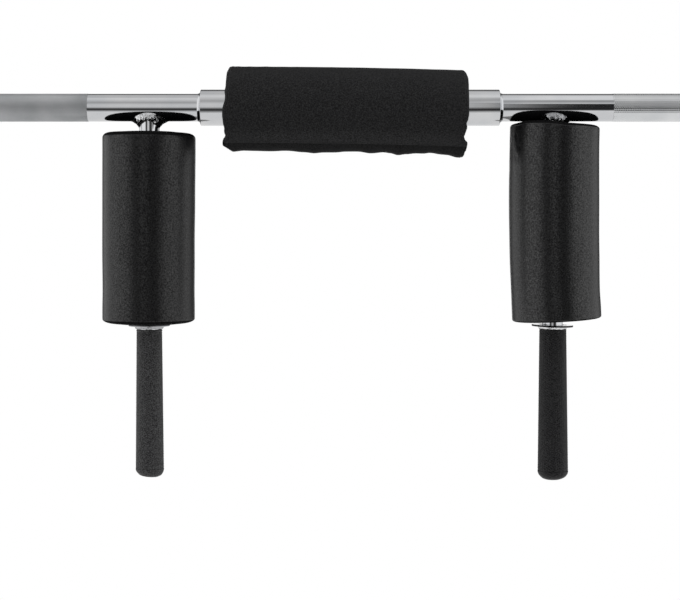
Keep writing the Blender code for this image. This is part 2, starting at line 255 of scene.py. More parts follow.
def makeStudio():
    world = bpy.data.worlds.new("studio")
    bpy.context.scene.world = world
    world.use_nodes = True
    tree = world.node_tree
    tree.nodes.clear()
    way = addNode(tree, "ShaderNodeSeparateXYZ", {0: addNode(tree, "ShaderNodeTexCoord").outputs["Generated"]})
    sockets = {"x": way.outputs[0], "y": way.outputs[1], "z": way.outputs[2]}
    sums = (  # name, operation and its terms; text names an earlier socket
        ("forward", "MULTIPLY", "y", -1.0),
        ("angle", "ARCTAN2", "z", "forward"),
        ("turn", "DIVIDE", "angle", 2 * math.pi),
        ("stop", "ADD", "turn", 0.5),
        ("aside", "ABSOLUTE", "x"),
    )
    for name, operation, *terms in sums:
        inputs = {k: sockets[term] if isinstance(term, str) else term for k, term in enumerate(terms)}
        sockets[name] = addNode(tree, "ShaderNodeMath", inputs, operation=operation).outputs[0]
    ramps = []
    for name in ("plain", "withStand", "beside"):
        ramp = addNode(tree, "ShaderNodeValToRGB", {0: sockets["stop"]})
        for k, (deg, level) in enumerate(studio[name]):
            where = deg / 360 + 0.5
            stop = ramp.color_ramp.elements[0] if k == 0 else ramp.color_ramp.elements.new(where)
            if k == 0:
                ramp.color_ramp.elements.remove(ramp.color_ramp.elements[1])
            stop.position = where
            stop.color = (level, level, level, 1)
        ramps.append(ramp.outputs[0])
    for name, axis in (("standEdge", "x"), ("frontHalf", "aside"), ("wings", "aside"), ("back", "y"), ("backFoot", "z"),
                       ("backSide", "x"), ("backdrop", "y")):
        inputs = {0: sockets[axis], 1: studio[name][0], 2: studio[name][1]}
        sockets[name] = addNode(tree, "ShaderNodeMapRange", inputs, interpolation_type="SMOOTHSTEP").outputs[0]
    behind = sockets["back"]
    for name in ("backFoot", "backSide"):
        behind = addNode(tree, "ShaderNodeMath", {0: behind, 1: sockets[name]}, operation="MULTIPLY").outputs[0]
    room = ramps[0]
    wing, back = ((studio[name],) * 3 + (1,) for name in ("wingLevel", "backLevel"))
    layers = ((sockets["standEdge"], ramps[1]), (sockets["frontHalf"], ramps[2]), (sockets["wings"], wing),
              (behind, back), (sockets["backdrop"], (1, 1, 1, 1)))
    for mask, other in layers:
        room = addNode(tree, "ShaderNodeMixRGB", {0: mask, 1: room, 2: other}).outputs[0]
    seen = addNode(tree, "ShaderNodeBackground", {0: (1, 1, 1, 1), 1: 1.0})
    lit = addNode(tree, "ShaderNodeBackground", {0: room, 1: studio["level"]})
    ray = addNode(tree, "ShaderNodeLightPath").outputs["Is Camera Ray"]
    both = addNode(tree, "ShaderNodeMixShader", {0: ray, 1: lit.outputs[0], 2: seen.outputs[0]})
    addNode(tree, "ShaderNodeOutputWorld", {0: both.outputs[0]})


floorPlan = {"size": (3.4, 2.6), "middle": (0.0, -0.1), "height": -1.0, "seenWhite": 0.5, "mirroredWhite": 0.8}


def makeFloor():
    # Painted board, lit through by the sweep's own white where it is seen or mirrored; shadows stay on it.
    material, tree, shader = newMaterial("painted studio floor", "#E9E9E7", 0.0, 0.75)
    ray = addNode(tree, "ShaderNodeLightPath").outputs
    shares = [addNode(tree, "ShaderNodeMath", {0: ray[kind], 1: floorPlan[share]}, operation="MULTIPLY").outputs[0]
              for kind, share in (("Is Camera Ray", "seenWhite"), ("Is Glossy Ray", "mirroredWhite"))]
    share = addNode(tree, "ShaderNodeMath", {0: shares[0], 1: shares[1]}, operation="MAXIMUM").outputs[0]
    white = addNode(tree, "ShaderNodeEmission", {0: (1, 1, 1, 1), 1: 1.0}).outputs[0]
    both = addNode(tree, "ShaderNodeMixShader", {0: share, 1: shader.outputs[0], 2: white}).outputs[0]
    tree.links.new(both, tree.nodes["Material Output"].inputs[0])
    (wide, deep), (x, y), z = floorPlan["size"], floorPlan["middle"], floorPlan["height"]
    corners = [(x + a * wide / 2, y + b * deep / 2, z) for a, b in ((-1, -1), (1, -1), (1, 1), (-1, 1))]
    mesh = bpy.data.meshes.new("floor")
    mesh.from_pydata(corners, [], [(0, 1, 2, 3)])
    mesh.materials.append(material)
    floor = bpy.data.objects.new("floor", mesh)
    bpy.context.scene.collection.objects.link(floor)


# materials

def newMaterial(name, colour, metallic, roughness, specular=0.5):
    material = bpy.data.materials.new(name)
    material.use_nodes = True
    tree = material.node_tree
    shader = tree.nodes["Principled BSDF"]
    shader.inputs["Base Color"].default_value = linear(colour)
    shader.inputs["Metallic"].default_value = metallic
    shader.inputs["Roughness"].default_value = roughness
    shader.inputs["Specular IOR Level"].default_value = specular
    return material, tree, shader


def mottled(tree, shader, texture, dark, light, low=0.3, high=0.7):  # base colour that drifts with a texture
    ramp = addNode(tree, "ShaderNodeValToRGB", {0: texture})
    for stop, where, colour in zip(ramp.color_ramp.elements, (low, high), (dark, light)):
        stop.position = where
        stop.color = linear(colour)
    tree.links.new(ramp.outputs[0], shader.inputs["Base Color"])


def surfaced(tree, shader, relief, haze=None):
    # Relief and, where given, uneven gloss: haze is a texture, its low and high end, and the roughness at each.
    if haze:
        tree.links.new(addNode(tree, "ShaderNodeMapRange", haze).outputs[0], shader.inputs["Roughness"])
    tree.links.new(addNode(tree, "ShaderNodeBump", relief).outputs[0], shader.inputs["Normal"])


def poreShade(tree, shader, texture):  # pores do not shine, and at a glancing angle the grains hide each other's shine
    grains = addNode(tree, "ShaderNodeMapRange", {0: texture, 1: 0.36, 2: 0.66, 3: 0.3, 4: 1.0}).outputs[0]
    glancing = addNode(tree, "ShaderNodeLayerWeight", {"Blend": 0.5}).outputs["Facing"]
    dimmed = addNode(tree, "ShaderNodeMapRange", {0: glancing, 1: 0.3, 2: 0.6, 3: 1.0, 4: 0.12}).outputs[0]
    shine = addNode(tree, "ShaderNodeMath", {0: grains, 1: dimmed}, operation="MULTIPLY").outputs[0]
    tree.links.new(shine, shader.inputs["Specular Tint"])


def chromePlate(name, stretch, smoothest, roughest, dark="#C6C8CB", light="#D3D3D4"):
    # Hard chrome on turned, polished steel: mirror bands, broken by faint lines left by the polishing belt.
    material, tree, shader = newMaterial(name, "#CDCED0", 1.0, smoothest)
    spot = addNode(tree, "ShaderNodeTexCoord").outputs["Object"]
    drawn = addNode(tree, "ShaderNodeMapping", {"Vector": spot, "Scale": stretch}).outputs[0]
    lines = addNode(tree, "ShaderNodeTexNoise", {"Vector": drawn, "Scale": 1 / (1.2 * mm), "Detail": 4.0})
    cloud = addNode(tree, "ShaderNodeTexNoise", {"Vector": spot, "Scale": 1 / (35 * mm), "Detail": 3.0})
    haze = {0: lines.outputs[0], 1: 0.35, 2: 0.75, 3: smoothest, 4: roughest}
    mottled(tree, shader, cloud.outputs[0], dark, light)
    relief = {"Height": lines.outputs[0], "Strength": 0.35, "Distance": 0.02 * mm}
    surfaced(tree, shader, relief, haze)
    return material


def weldPlate(name, colour):
    # Chrome over a weld bead: plated like the bar but never polished, so small lumps keep it satin.
    material, tree, shader = newMaterial(name, colour, 1.0, 0.16)
    spot = addNode(tree, "ShaderNodeTexCoord").outputs["Object"]
    lumps = addNode(tree, "ShaderNodeTexNoise", {"Vector": spot, "Scale": 1 / (3.0 * mm), "Detail": 2.0})
    haze = {0: lumps.outputs[0], 1: 0.3, 2: 0.7, 3: 0.08, 4: 0.26}
    relief = {"Height": lumps.outputs[0], "Strength": 1.0, "Distance": 1.6 * mm}
    surfaced(tree, shader, relief, haze)
    return material


def foamSkin(name, dark, light, roughness, cell, depth, specular=0.5):
    # Closed-cell nitrile foam in its moulded skin: dull charcoal, with fine pebbles that give a soft sheen.
    # The pebbles are 0.8 mm on the real skin and are drawn up to 1.45 mm, because finer ones would not show.
    material, tree, shader = newMaterial(name, dark, 0.0, roughness, specular)
    spot = addNode(tree, "ShaderNodeTexCoord").outputs["Object"]
    pebbles = addNode(tree, "ShaderNodeTexVoronoi", {"Vector": spot, "Scale": 1 / cell}, feature="SMOOTH_F1")
    grit = addNode(tree, "ShaderNodeTexNoise", {"Vector": spot, "Scale": 1 / cell, "Detail": 5.0, "Roughness": 0.6})
    mottled(tree, shader, grit.outputs[0], dark, light, 0.4, 0.6)
    poreShade(tree, shader, grit.outputs[0])
    haze = {0: grit.outputs[0], 1: 0.35, 2: 0.65, 3: roughness + 0.1, 4: roughness - 0.06}
    coarse = {"Height": pebbles.outputs[0], "Strength": 0.6, "Distance": depth}
    first = addNode(tree, "ShaderNodeBump", coarse, invert=True).outputs[0]
    fine = {"Height": grit.outputs[0], "Strength": 0.5, "Distance": depth / 2, "Normal": first}
    surfaced(tree, shader, fine, haze)
    return material


def gripRubber(name, dark, light, roughness, specular):
    # Moulded PVC rubber: a fine random speckle of paler and darker rubber.
    material, tree, shader = newMaterial(name, dark, 0.0, roughness, specular)
    spot = addNode(tree, "ShaderNodeTexCoord").outputs["Object"]
    dust = addNode(tree, "ShaderNodeTexNoise", {"Vector": spot, "Scale": 1 / (1.2 * mm), "Detail": 6.0})
    mottled(tree, shader, dust.outputs[0], dark, light, 0.4, 0.6)
    poreShade(tree, shader, dust.outputs[0])
    relief = {"Height": dust.outputs[0], "Strength": 0.4, "Distance": 0.08 * mm}
    surfaced(tree, shader, relief)
    return material


wrap = {
    "turns": 420.0,  # degrees that the cloth runs round the foam
    "length": math.radians(420) * 43.4 * mm,
    # painted light and shade along the cloth's length, in degrees round the pad: painted shade on the first layer below
    # the flap, a painted highlight on the hem, and at the flap's edge a dark line, partly its raw edge and partly
    # painted shadow
    "paintedShading": [(0, 0.5), (92, 0.5), (108, 0.74), (392, 0.74), (408, 1.0), (418.5, 1.0), (419.5, 0.35)],
}


def coverCloth():
    # Coated polyester cloth: matt black plain weave, with painted light and shade along its length: a painted highlight
    # on the hem and painted shade on the first layer below the flap.
    # Threads are 0.6 mm apart and are drawn 1.5 mm apart, because finer ones would not show.
    material, tree, shader = newMaterial("plain-woven polyester", "#1C1C1D", 0.0, 0.78, 0.16)
    flat = addNode(tree, "ShaderNodeUVMap", uv_map="cloth").outputs[0]
    spot = addNode(tree, "ShaderNodeTexCoord").outputs["Object"]
    pitch = 1.5 * mm
    threads = []
    for direction in ("X", "Y"):  # the wave texture has 20 radians in one unit
        inputs = {"Vector": flat, "Scale": 1 / (pitch * 20 / (2 * math.pi)), "Distortion": 0.4}
        threads.append(addNode(tree, "ShaderNodeTexWave", inputs, bands_direction=direction).outputs[1])
    over = addNode(tree, "ShaderNodeTexChecker", {"Vector": flat, "Scale": 1 / pitch}).outputs[1]
    weave = addNode(tree, "ShaderNodeMixRGB", {0: over, 1: threads[0], 2: threads[1]}).outputs[0]
    speck = addNode(tree, "ShaderNodeTexNoise", {"Vector": spot, "Scale": 1 / (1.3 * mm), "Detail": 3.0})
    mottled(tree, shader, speck.outputs[0], "#242425", "#3C3C3D", 0.36, 0.66)
    poreShade(tree, shader, speck.outputs[0])
    # painted light and shade by place along the cloth: shade below the flap, a highlight on the hem, a shadow line at
    # the flap's edge
    along = addNode(tree, "ShaderNodeSeparateXYZ", {0: flat}).outputs[1]
    share = addNode(tree, "ShaderNodeMath", {0: along, 1: wrap["length"]}, operation="DIVIDE").outputs[0]
    paintedShading = addNode(tree, "ShaderNodeValToRGB", {0: share})
    while len(paintedShading.color_ramp.elements) < len(wrap["paintedShading"]):
        paintedShading.color_ramp.elements.new(1.0)
    for stop, (turn, level) in zip(paintedShading.color_ramp.elements, wrap["paintedShading"]):
        stop.position = turn / wrap["turns"]
        stop.color = (level, level, level, 1)
    colour = shader.inputs["Base Color"].links[0].from_socket
    shadingMix = {"Fac": 1.0, "Color1": colour, "Color2": paintedShading.outputs[0]}
    shadedColour = addNode(tree, "ShaderNodeMixRGB", shadingMix, blend_type="MULTIPLY").outputs[0]
    tree.links.new(shadedColour, shader.inputs["Base Color"])
    relief = {"Height": weave, "Strength": 0.5, "Distance": 0.12 * mm}
    surfaced(tree, shader, relief)
    return material


def closureTape(name, scale, depth):
    # Hook-and-loop tape in nylon: the loops look felted, the hooks stand in fine rows.
    material, tree, shader = newMaterial(name, "#151516", 0.0, 0.8, 0.2)
    spot = addNode(tree, "ShaderNodeTexCoord").outputs["Object"]
    pile = addNode(tree, "ShaderNodeTexVoronoi", {"Vector": spot, "Scale": 1 / scale})
    mottled(tree, shader, pile.outputs[0], "#1E1E20", "#101011", 0.1, 0.8)
    relief = {"Height": pile.outputs[0], "Strength": 0.9, "Distance": depth}
    surfaced(tree, shader, relief)
    return material


def machined(name, dark, light, metallic, roughness, cut):
    # Turned or moulded small parts: fine concentric tool marks, a little colour drift.
    material, tree, shader = newMaterial(name, dark, metallic, roughness)
    spot = addNode(tree, "ShaderNodeTexCoord").outputs["Object"]
    marks = addNode(tree, "ShaderNodeTexNoise", {"Vector": spot, "Scale": 1 / cut, "Detail": 5.0})
    mottled(tree, shader, marks.outputs[0], dark, light)
    haze = {0: marks.outputs[0], 1: 0.3, 2: 0.7, 3: roughness - 0.06, 4: roughness + 0.08}
    relief = {"Height": marks.outputs[0], "Strength": 0.3, "Distance": 0.04 * mm}
    surfaced(tree, shader, relief, haze)
    return material


makeCamera()
makeStudio()
makeFloor()
barChrome = chromePlate("hard chrome, bar", (0.02, 1, 1), 0.05, 0.11)
armChrome = chromePlate("hard chrome, arms", (1, 1, 0.03), 0.06, 0.12)
knurlChrome = {
    # lit and shaded copies of the same knurling: the left copy's darker colour is painted shade, as it is lit less on
    # the left; it is also rougher
    "left": chromePlate("hard chrome, knurling with painted shade", (1, 1, 1), 0.42, 0.55, "#A4A6A8", "#BBBCBE"),
    "right": chromePlate("hard chrome, knurling", (1, 1, 1), 0.1, 0.2, "#CACCCE", "#DADBDC"),
}
weldChrome = {
    "bright": weldPlate("chromed weld bead", "#DCDDDE"),
    "dull": weldPlate("chromed weld bead, dull", "#A4A5A7"),
}
# dark chrome for the washers' rims under the pads: painted shade from the pad's overhang, darkest on the right
paintedRimShade = {
    "left": chromePlate("hard chrome rim, painted shade", (1, 1, 1), 0.4, 0.55, "#55565A", "#707174"),
    "right": chromePlate("hard chrome rim, darkest painted shade", (1, 1, 1), 0.3, 0.45, "#0C0C0D", "#1A1A1B"),
}
rollerFoam = {
    "left": foamSkin("nitrile foam skin", "#020203", "#1D1D1E", 0.34, 1.45 * mm, 0.16 * mm, 0.6),
    # the right copy is glossier than the left: painted sheen standing in for a lamp nearer the right pad
    "right": foamSkin("nitrile foam skin, glossier", "#020203", "#1D1D1E", 0.31, 1.45 * mm, 0.16 * mm, 0.72),
}
cutFoam = foamSkin("nitrile foam, cut face", "#040405", "#0C0C0D", 0.8, 1.2 * mm, 0.3 * mm, 0.1)
neckFoam = foamSkin("polyethylene foam", "#131314", "#1B1B1C", 0.6, 0.9 * mm, 0.2 * mm, 0.3)
gripFinish = {
    # lit and shaded copies of the same rubber: the left copy's paler colour is painted light for how the left grip is
    # lit
    "left": gripRubber("moulded rubber, painted paler", "#1C1C1D", "#464647", 0.5, 0.6),
    "right": gripRubber("moulded rubber", "#070709", "#1F1F20", 0.46, 0.42),
}
cloth = coverCloth()
thread = machined("nylon thread", "#1B1B1C", "#28282A", 0.0, 0.6, 0.5 * mm)
loopTape = closureTape("nylon loop tape", 0.5 * mm, 0.3 * mm)
hookTape = closureTape("nylon hook tape", 0.9 * mm, 0.4 * mm)
bronze = machined("sintered bronze", "#8A6A3E", "#A17E4C", 1.0, 0.36, 0.7 * mm)
springSteel = machined("blackened spring steel", "#3B3B3D", "#4A4A4C", 1.0, 0.38, 1.1 * mm)
capPlastic = machined("moulded polypropylene", "#161617", "#1E1E1F", 0.0, 0.42, 0.8 * mm)
linerPlastic = machined("extruded polyethylene", "#D9D9D4", "#E4E4E0", 0.0, 0.45, 1.4 * mm)
print("camera, studio and materials: done")


# knurling, cut with Geometry Nodes

def diamondTree():  # a closed sleeve of low four-sided diamonds between two ends
    numbers = [(name, "Float") for name in ("Length", "Start radius", "End radius", "Depth", "Wall")]
    numbers += [("Around", "Int"), ("Rows", "Int")]
    places = [("Place", "Vector"), ("Turn", "Vector"), ("Material", "Material")]
    tree, given = newTree("diamond knurl", numbers + places)
    sockets = {name: given[name] for name, kind in numbers}
    spot = addNode(tree, "ShaderNodeSeparateXYZ", {0: addNode(tree, "GeometryNodeInputPosition").outputs[0]})
    sockets["x"], sockets["y"] = spot.outputs[0], spot.outputs[1]
    sums = (
        ("acrossCount", "ADD", "Around", 1.0),
        ("alongCount", "ADD", "Rows", 4.0),
        ("rowTotal", "ADD", "Rows", 3.0),
        ("xShare", "ADD", "x", 0.5),
        ("rowPlace", "MULTIPLY", "xShare", "rowTotal"),
        ("row", "ROUND", "rowPlace"),
        ("yShare", "ADD", "y", 0.5),
        ("columnPlace", "MULTIPLY", "yShare", "Around"),
        ("column", "ROUND", "columnPlace"),
        ("fromFirst", "SUBTRACT", "row", 1.0),
        ("notBefore", "MAXIMUM", "fromFirst", 0.0),
        ("notAfter", "MINIMUM", "notBefore", "Rows"),
        ("lastWall", "ADD", "Rows", 2.5),  # the last row returns to the start and closes the wall
        ("isOut", "LESS_THAN", "row", "lastWall"),
        ("step", "MULTIPLY", "notAfter", "isOut"),
        ("share", "DIVIDE", "step", "Rows"),
        ("beforeWall", "LESS_THAN", "row", 0.5),
        ("wallRow", "ADD", "Rows", 1.5),
        ("afterWall", "GREATER_THAN", "row", "wallRow"),
        ("inWall", "MAXIMUM", "beforeWall", "afterWall"),
        ("pastEdge", "GREATER_THAN", "row", 1.5),
        ("edgeRow", "ADD", "Rows", 0.5),
        ("shortOfEdge", "LESS_THAN", "row", "edgeRow"),
        ("inside", "MULTIPLY", "pastEdge", "shortOfEdge"),
        ("odds", "ADD", "row", "column"),
        ("parity", "MODULO", "odds", 2.0),
        ("peak", "MULTIPLY", "parity", "inside"),
        ("groove", "SUBTRACT", 1.0, "peak"),
        ("cut", "MULTIPLY", "groove", "Depth"),
        ("taper", "SUBTRACT", "End radius", "Start radius"),
        ("swell", "MULTIPLY", "taper", "share"),
        ("tops", "ADD", "Start radius", "swell"),
        ("face", "SUBTRACT", "tops", "cut"),
        ("wallDepth", "MULTIPLY", "inWall", "Wall"),
        ("radius", "SUBTRACT", "face", "wallDepth"),
        ("turnShare", "DIVIDE", "column", "Around"),
        ("angle", "MULTIPLY", "turnShare", 2 * math.pi),
        ("cosine", "COSINE", "angle"),
        ("sine", "SINE", "angle"),
        ("acrossX", "MULTIPLY", "radius", "cosine"),
        ("acrossY", "MULTIPLY", "radius", "sine"),
        ("along", "MULTIPLY", "share", "Length"),
    )
    for name, operation, *terms in sums:
        inputs = {k: sockets[term] if isinstance(term, str) else term for k, term in enumerate(terms)}
        sockets[name] = addNode(tree, "ShaderNodeMath", inputs, operation=operation).outputs[0]
    counts = {"Vertices X": sockets["alongCount"], "Vertices Y": sockets["acrossCount"]}
    grid = addNode(tree, "GeometryNodeMeshGrid", counts)
    home = addNode(tree, "ShaderNodeCombineXYZ", {0: sockets["acrossX"], 1: sockets["acrossY"], 2: sockets["along"]})
    moved = addNode(tree, "GeometryNodeSetPosition", {"Geometry": grid.outputs[0], "Position": home.outputs[0]})
    closed = addNode(tree, "GeometryNodeMergeByDistance", {"Geometry": moved.outputs[0], "Distance": weldDistance})
    cutFaces = addNode(tree, "GeometryNodeTriangulate", {"Mesh": closed.outputs[0]})  # along the grooves
    seat = {"Geometry": cutFaces.outputs[0], "Translation": given["Place"], "Rotation": given["Turn"]}
    endTree(tree, addNode(tree, "GeometryNodeTransform", seat).outputs[0], given["Material"])
    return tree


knurlCutter = diamondTree()


def diamondBand(start, length, radii, pitch, depth, wall, material, alongX=True, centre=0.0):
    around = 2 * round(math.pi * max(radii) / pitch)
    rows = 2 * round(length / pitch)
    values = {
        "Length": length, "Start radius": radii[0], "End radius": radii[1], "Depth": depth, "Wall": wall,
        "Around": around, "Rows": rows, "Material": material,
        "Place": (start, 0.0, 0.0) if alongX else (centre, 0.0, start),
        "Turn": (0.0, math.pi / 2, 0.0) if alongX else (math.pi, 0.0, 0.0),
    }
    return grown(knurlCutter, values)


# bar

bar = {
    "r": 15.0 * mm,
    "edge": 0.35 * mm,
    "knurlStart": {"left": 285.0 * mm, "right": 283.8 * mm},
    "knurlEnd": 640.0 * mm,
    "ringMark": 405.0 * mm,  # smooth band that marks the hand's place
    "ringHalf": 1.5 * mm,
    "knurlR": 15.25 * mm,
    "knurlPitch": 1.9 * mm,
    "knurlDepth": {"left": 0.26 * mm, "right": 0.15 * mm},
    "knurlWall": 0.5 * mm,
    "coreR": 14.5 * mm,
    "shoulder": 652.0 * mm,
    "journalR": 12.5 * mm,
    "groove": (1052.8 * mm, 1055.0 * mm),
    "grooveR": 11.5 * mm,
    "endBevel": 1.2 * mm,
    "sharpDeg": 1.0,  # every diamond keeps its edges
}


def makeBar():
    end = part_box("shaft")[1].x
    r, core, journal, bevel = bar["r"], bar["coreR"], bar["journalR"], bar["endBevel"]
    markNear, markFar = bar["ringMark"] - bar["ringHalf"], bar["ringMark"] + bar["ringHalf"]
    grooveNear, grooveFar = bar["groove"]
    halves = {name: [
        (bar["knurlStart"][name], r), (bar["knurlStart"][name], core), (markNear, core), (markNear, r),
        (markFar, r), (markFar, core), (bar["knurlEnd"], core), (bar["knurlEnd"], r),
        (bar["shoulder"], r), (bar["shoulder"], journal),
        (grooveNear, journal), (grooveNear, bar["grooveR"]), (grooveFar, bar["grooveR"]), (grooveFar, journal),
        (end - bevel, journal), (end, journal - bevel), (end, 0.0),
    ] for name in sides}
    profile = eased([(-x, radius) for x, radius in reversed(halves["left"])] + halves["right"], bar["edge"])
    piece = addPiece("polished_shaft", *turned(profile), barChrome)
    place(piece, "bar", "chrome", "shaft")
    for name, side in sides.items():
        bands = []
        for near, far in ((bar["knurlStart"][name], markNear), (markFar, bar["knurlEnd"])):
            start = near if side > 0 else -far
            bands.append(diamondBand(start, far - near, (bar["knurlR"],) * 2, bar["knurlPitch"],
                                     bar["knurlDepth"][name], bar["knurlWall"], knurlChrome[name]))
        place(joined(name + "_knurling", bands, knurlChrome[name], bar["sharpDeg"]), "bar", "chrome")


centreSleeve = {
    "r": 19.6 * mm,
    "innerR": 15.1 * mm,
    "bevel": 1.2 * mm,
    "seamR": 16.3 * mm,  # solder seam round each end
    "seam": 2.4 * mm,
    "seamDip": (0.4, 15.6 * mm),  # where along the seam it is lowest, and its radius there
    "edge": 0.4 * mm,
    "shift": -0.9 * mm,  # it sits a little to the left on the bar
}


def makeCentreSleeve():
    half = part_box("centre_sleeve")[1].x
    face = half - centreSleeve["seam"]
    share, dipR = centreSleeve["seamDip"]
    outer = [(face - centreSleeve["bevel"], centreSleeve["r"]), (face, centreSleeve["seamR"]),
             (face + share * centreSleeve["seam"], dipR), (half, centreSleeve["innerR"])]
    profile = [(-x, r) for x, r in reversed(outer)] + outer
    profile = [(x + centreSleeve["shift"], r) for x, r in profile]
    shape = turned(eased(profile, centreSleeve["edge"], ring=True), ring=True)
    place(addPiece("centre_tube", *shape, barChrome), "bar", "chrome", "centre_sleeve")


# arms

arm = {
    "x": 219.0 * mm,
    "r": 11.0 * mm,
    "tipBevel": 1.5 * mm,
    "seatR": 14.9 * mm,
    "legFront": 4.8 * mm,
    "legSide": 4.6 * mm,
    "legSkew": 0.6 * mm,
    "legDown": 7.6 * mm,
    "beadDown": 2.5 * mm,  # how far below the bar the rough bead reaches, with polished rod under it
    "frontDown": 4.4 * mm,
    "pull": 0.5,  # how far the fillet is drawn into its corner
    "proud": (8.0 * mm, 4.0 * mm),  # the last pass stands out in front, fullest near its foot
    "frontTurn": 11.0,  # degrees outwards from the front
    "frontFade": (0.7, 0.2),  # cosine from there at which the front bead starts, and the width of the change
    "beads": 21,
    "beadHeight": 0.45 * mm,
    "frontHeight": 1.8 * mm,
    "drift": (3, 1.6),  # how fast and how far the ripples wander
    "arch": 5,  # the ripples lag behind at both edges of the bead
    "rough": (9, 5),  # how fine the lumps are, around and down the bead
    "mix": (0.7, 0.9),  # shares of ripple and lump
    "underShares": (0.3, 0.7, 1.0),  # rings on the bar's underside
    "steps": 12,  # rings down the bead
    "plainFrom": -26 * mm,
    "tipEase": 0.5 * mm,
    "count": 168,
    "sharpDeg": 50.0,
    "weld": {"left": "bright", "right": "dull"},
}


def weldLeg(angle, side):  # the fillet is longest on the side towards the bar's middle
    inward = -side * math.cos(angle)
    return arm["legFront"] + inward ** 2 * (arm["legSide"] + arm["legSkew"] * inward)


def makeArm(name, side):
    x0, r, seat, count = side * arm["x"], arm["r"], arm["seatR"], arm["count"]
    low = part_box(name + "_arm_rod")[0].z

    def toe(angle, share):
        leg = weldLeg(angle, side)
        spread = (math.asin(r * math.sin(angle) / seat) + leg * math.sin(angle) / seat) * share
        return Vector((x0 + (r + leg) * math.cos(angle) * share, seat * math.sin(spread), -seat * math.cos(spread)))

    def fillet(angle, t):  # concave weld face at the sides, a rounded and rippled bead in front
        y = r * math.sin(angle)
        corner = Vector((x0 + r * math.cos(angle), y, -math.sqrt(seat * seat - y * y)))
        front = math.cos(angle + math.radians(90 - side * arm["frontTurn"]))
        front = fade(front, *arm["frontFade"])
        foot = corner - Vector((0, 0, arm["legDown"] + (arm["frontDown"] - arm["legDown"]) * front))
        start = toe(angle, 1.0)
        pulled = arm["pull"] * corner + (1 - arm["pull"]) / 2 * (start + foot)
        out, down = arm["proud"]
        pulled = pulled.lerp(corner + Vector((out * math.cos(angle), out * math.sin(angle), -down)), front)
        spot = (1 - t) ** 2 * start + 2 * t * (1 - t) * pulled + t * t * foot
        (pace, reach), (around, along), (waveShare, roughShare) = arm["drift"], arm["rough"], arm["mix"]
        drift = noise.noise(Vector((pace * math.cos(angle), pace * math.sin(angle), side)))
        rough = noise.noise(Vector((around * math.cos(angle), around * math.sin(angle), along * t + side)))
        wave = 0.5 + 0.5 * math.cos(arm["beads"] * angle + reach * drift + arm["arch"] * (t - 0.5) ** 2)
        height = arm["beadHeight"] + (arm["frontHeight"] - arm["beadHeight"]) * front
        bulge = math.sqrt(math.sin(math.pi * min(t, 0.999)))  # full in the middle of the bead
        lump = height * bulge * (waveShare * wave + roughShare * rough)
        return spot + (spot - (corner + Vector((0, 0, r)))).normalized() * lump

    rows = [[(x0, 0.0, -seat)]]
    rings = [lambda a, s=share: toe(a, s) for share in arm["underShares"]]
    rings += [lambda a, t=(step + 1) / arm["steps"]: fillet(a, t) for step in range(arm["steps"])]
    tip = low + arm["tipBevel"]
    for radius, z in ((r, arm["plainFrom"]), (r, tip + arm["tipEase"]), (r, tip), (r - arm["tipBevel"], low)):
        rings.append(lambda a, q=radius, h=z: (x0 + q * math.cos(a), q * math.sin(a), h))
    for ring in rings:
        rows.append([tuple(ring(2 * math.pi * k / count)) for k in range(count)])
    rows.append([(x0, 0.0, low)])
    piece = addPiece(name + "_arm", *lofted(rows), armChrome, arm["sharpDeg"])
    piece.data.materials.append(weldChrome[arm["weld"][name]])
    for face in piece.data.polygons:
        if face.center.z > -seat - arm["beadDown"]:
            face.material_index = 1
    place(piece, "bar", "chrome", name + "_arm_rod")


padStop = {
    "t": 2.0 * mm,
    "r": 22.4 * mm,
    "draft": {"left": 0.0, "right": 0.12 * mm},  # the stamped edge slopes in a little
    "bevel": {"left": 0.7 * mm, "right": 0.15 * mm},
    "edge": 0.2 * mm,
    "innerR": 10.95 * mm,
    "weldR": (16.6 * mm, 15.6 * mm, 15.0 * mm),  # on the washer, halfway and at the grip
    "weldHeight": {"left": 2.8 * mm, "right": 2.4 * mm},
    "raise": {"left": 0.0, "right": -0.3 * mm},
    "tiltDeg": {"left": 0.0, "right": 1.6},  # the right washer was welded on a little out of square
    "topBead": {"left": 0.5 * mm, "right": 0.05 * mm},
    "topBeadR": 4.6 * mm,
    "sink": 0.2 * mm,  # how far the welds begin inside the plate
    "hollow": 0.45,  # share of the weld's height that is left halfway out
    "ripples": 14,
    "wander": (2, 90),  # how far the ripples stray and how fast that changes
    "uneven": {"under": (0.85, 0.15), "over": (0.7, 0.3)},  # even and rippled share of each weld's height
    "bareAt": -97,  # degrees, where the top weld leaves the rod bare
    "bareFade": (14, 22),
    "count": 120,
    "rimNormal": 0.4,
    "weld": {"left": "dull", "right": "bright"},
}


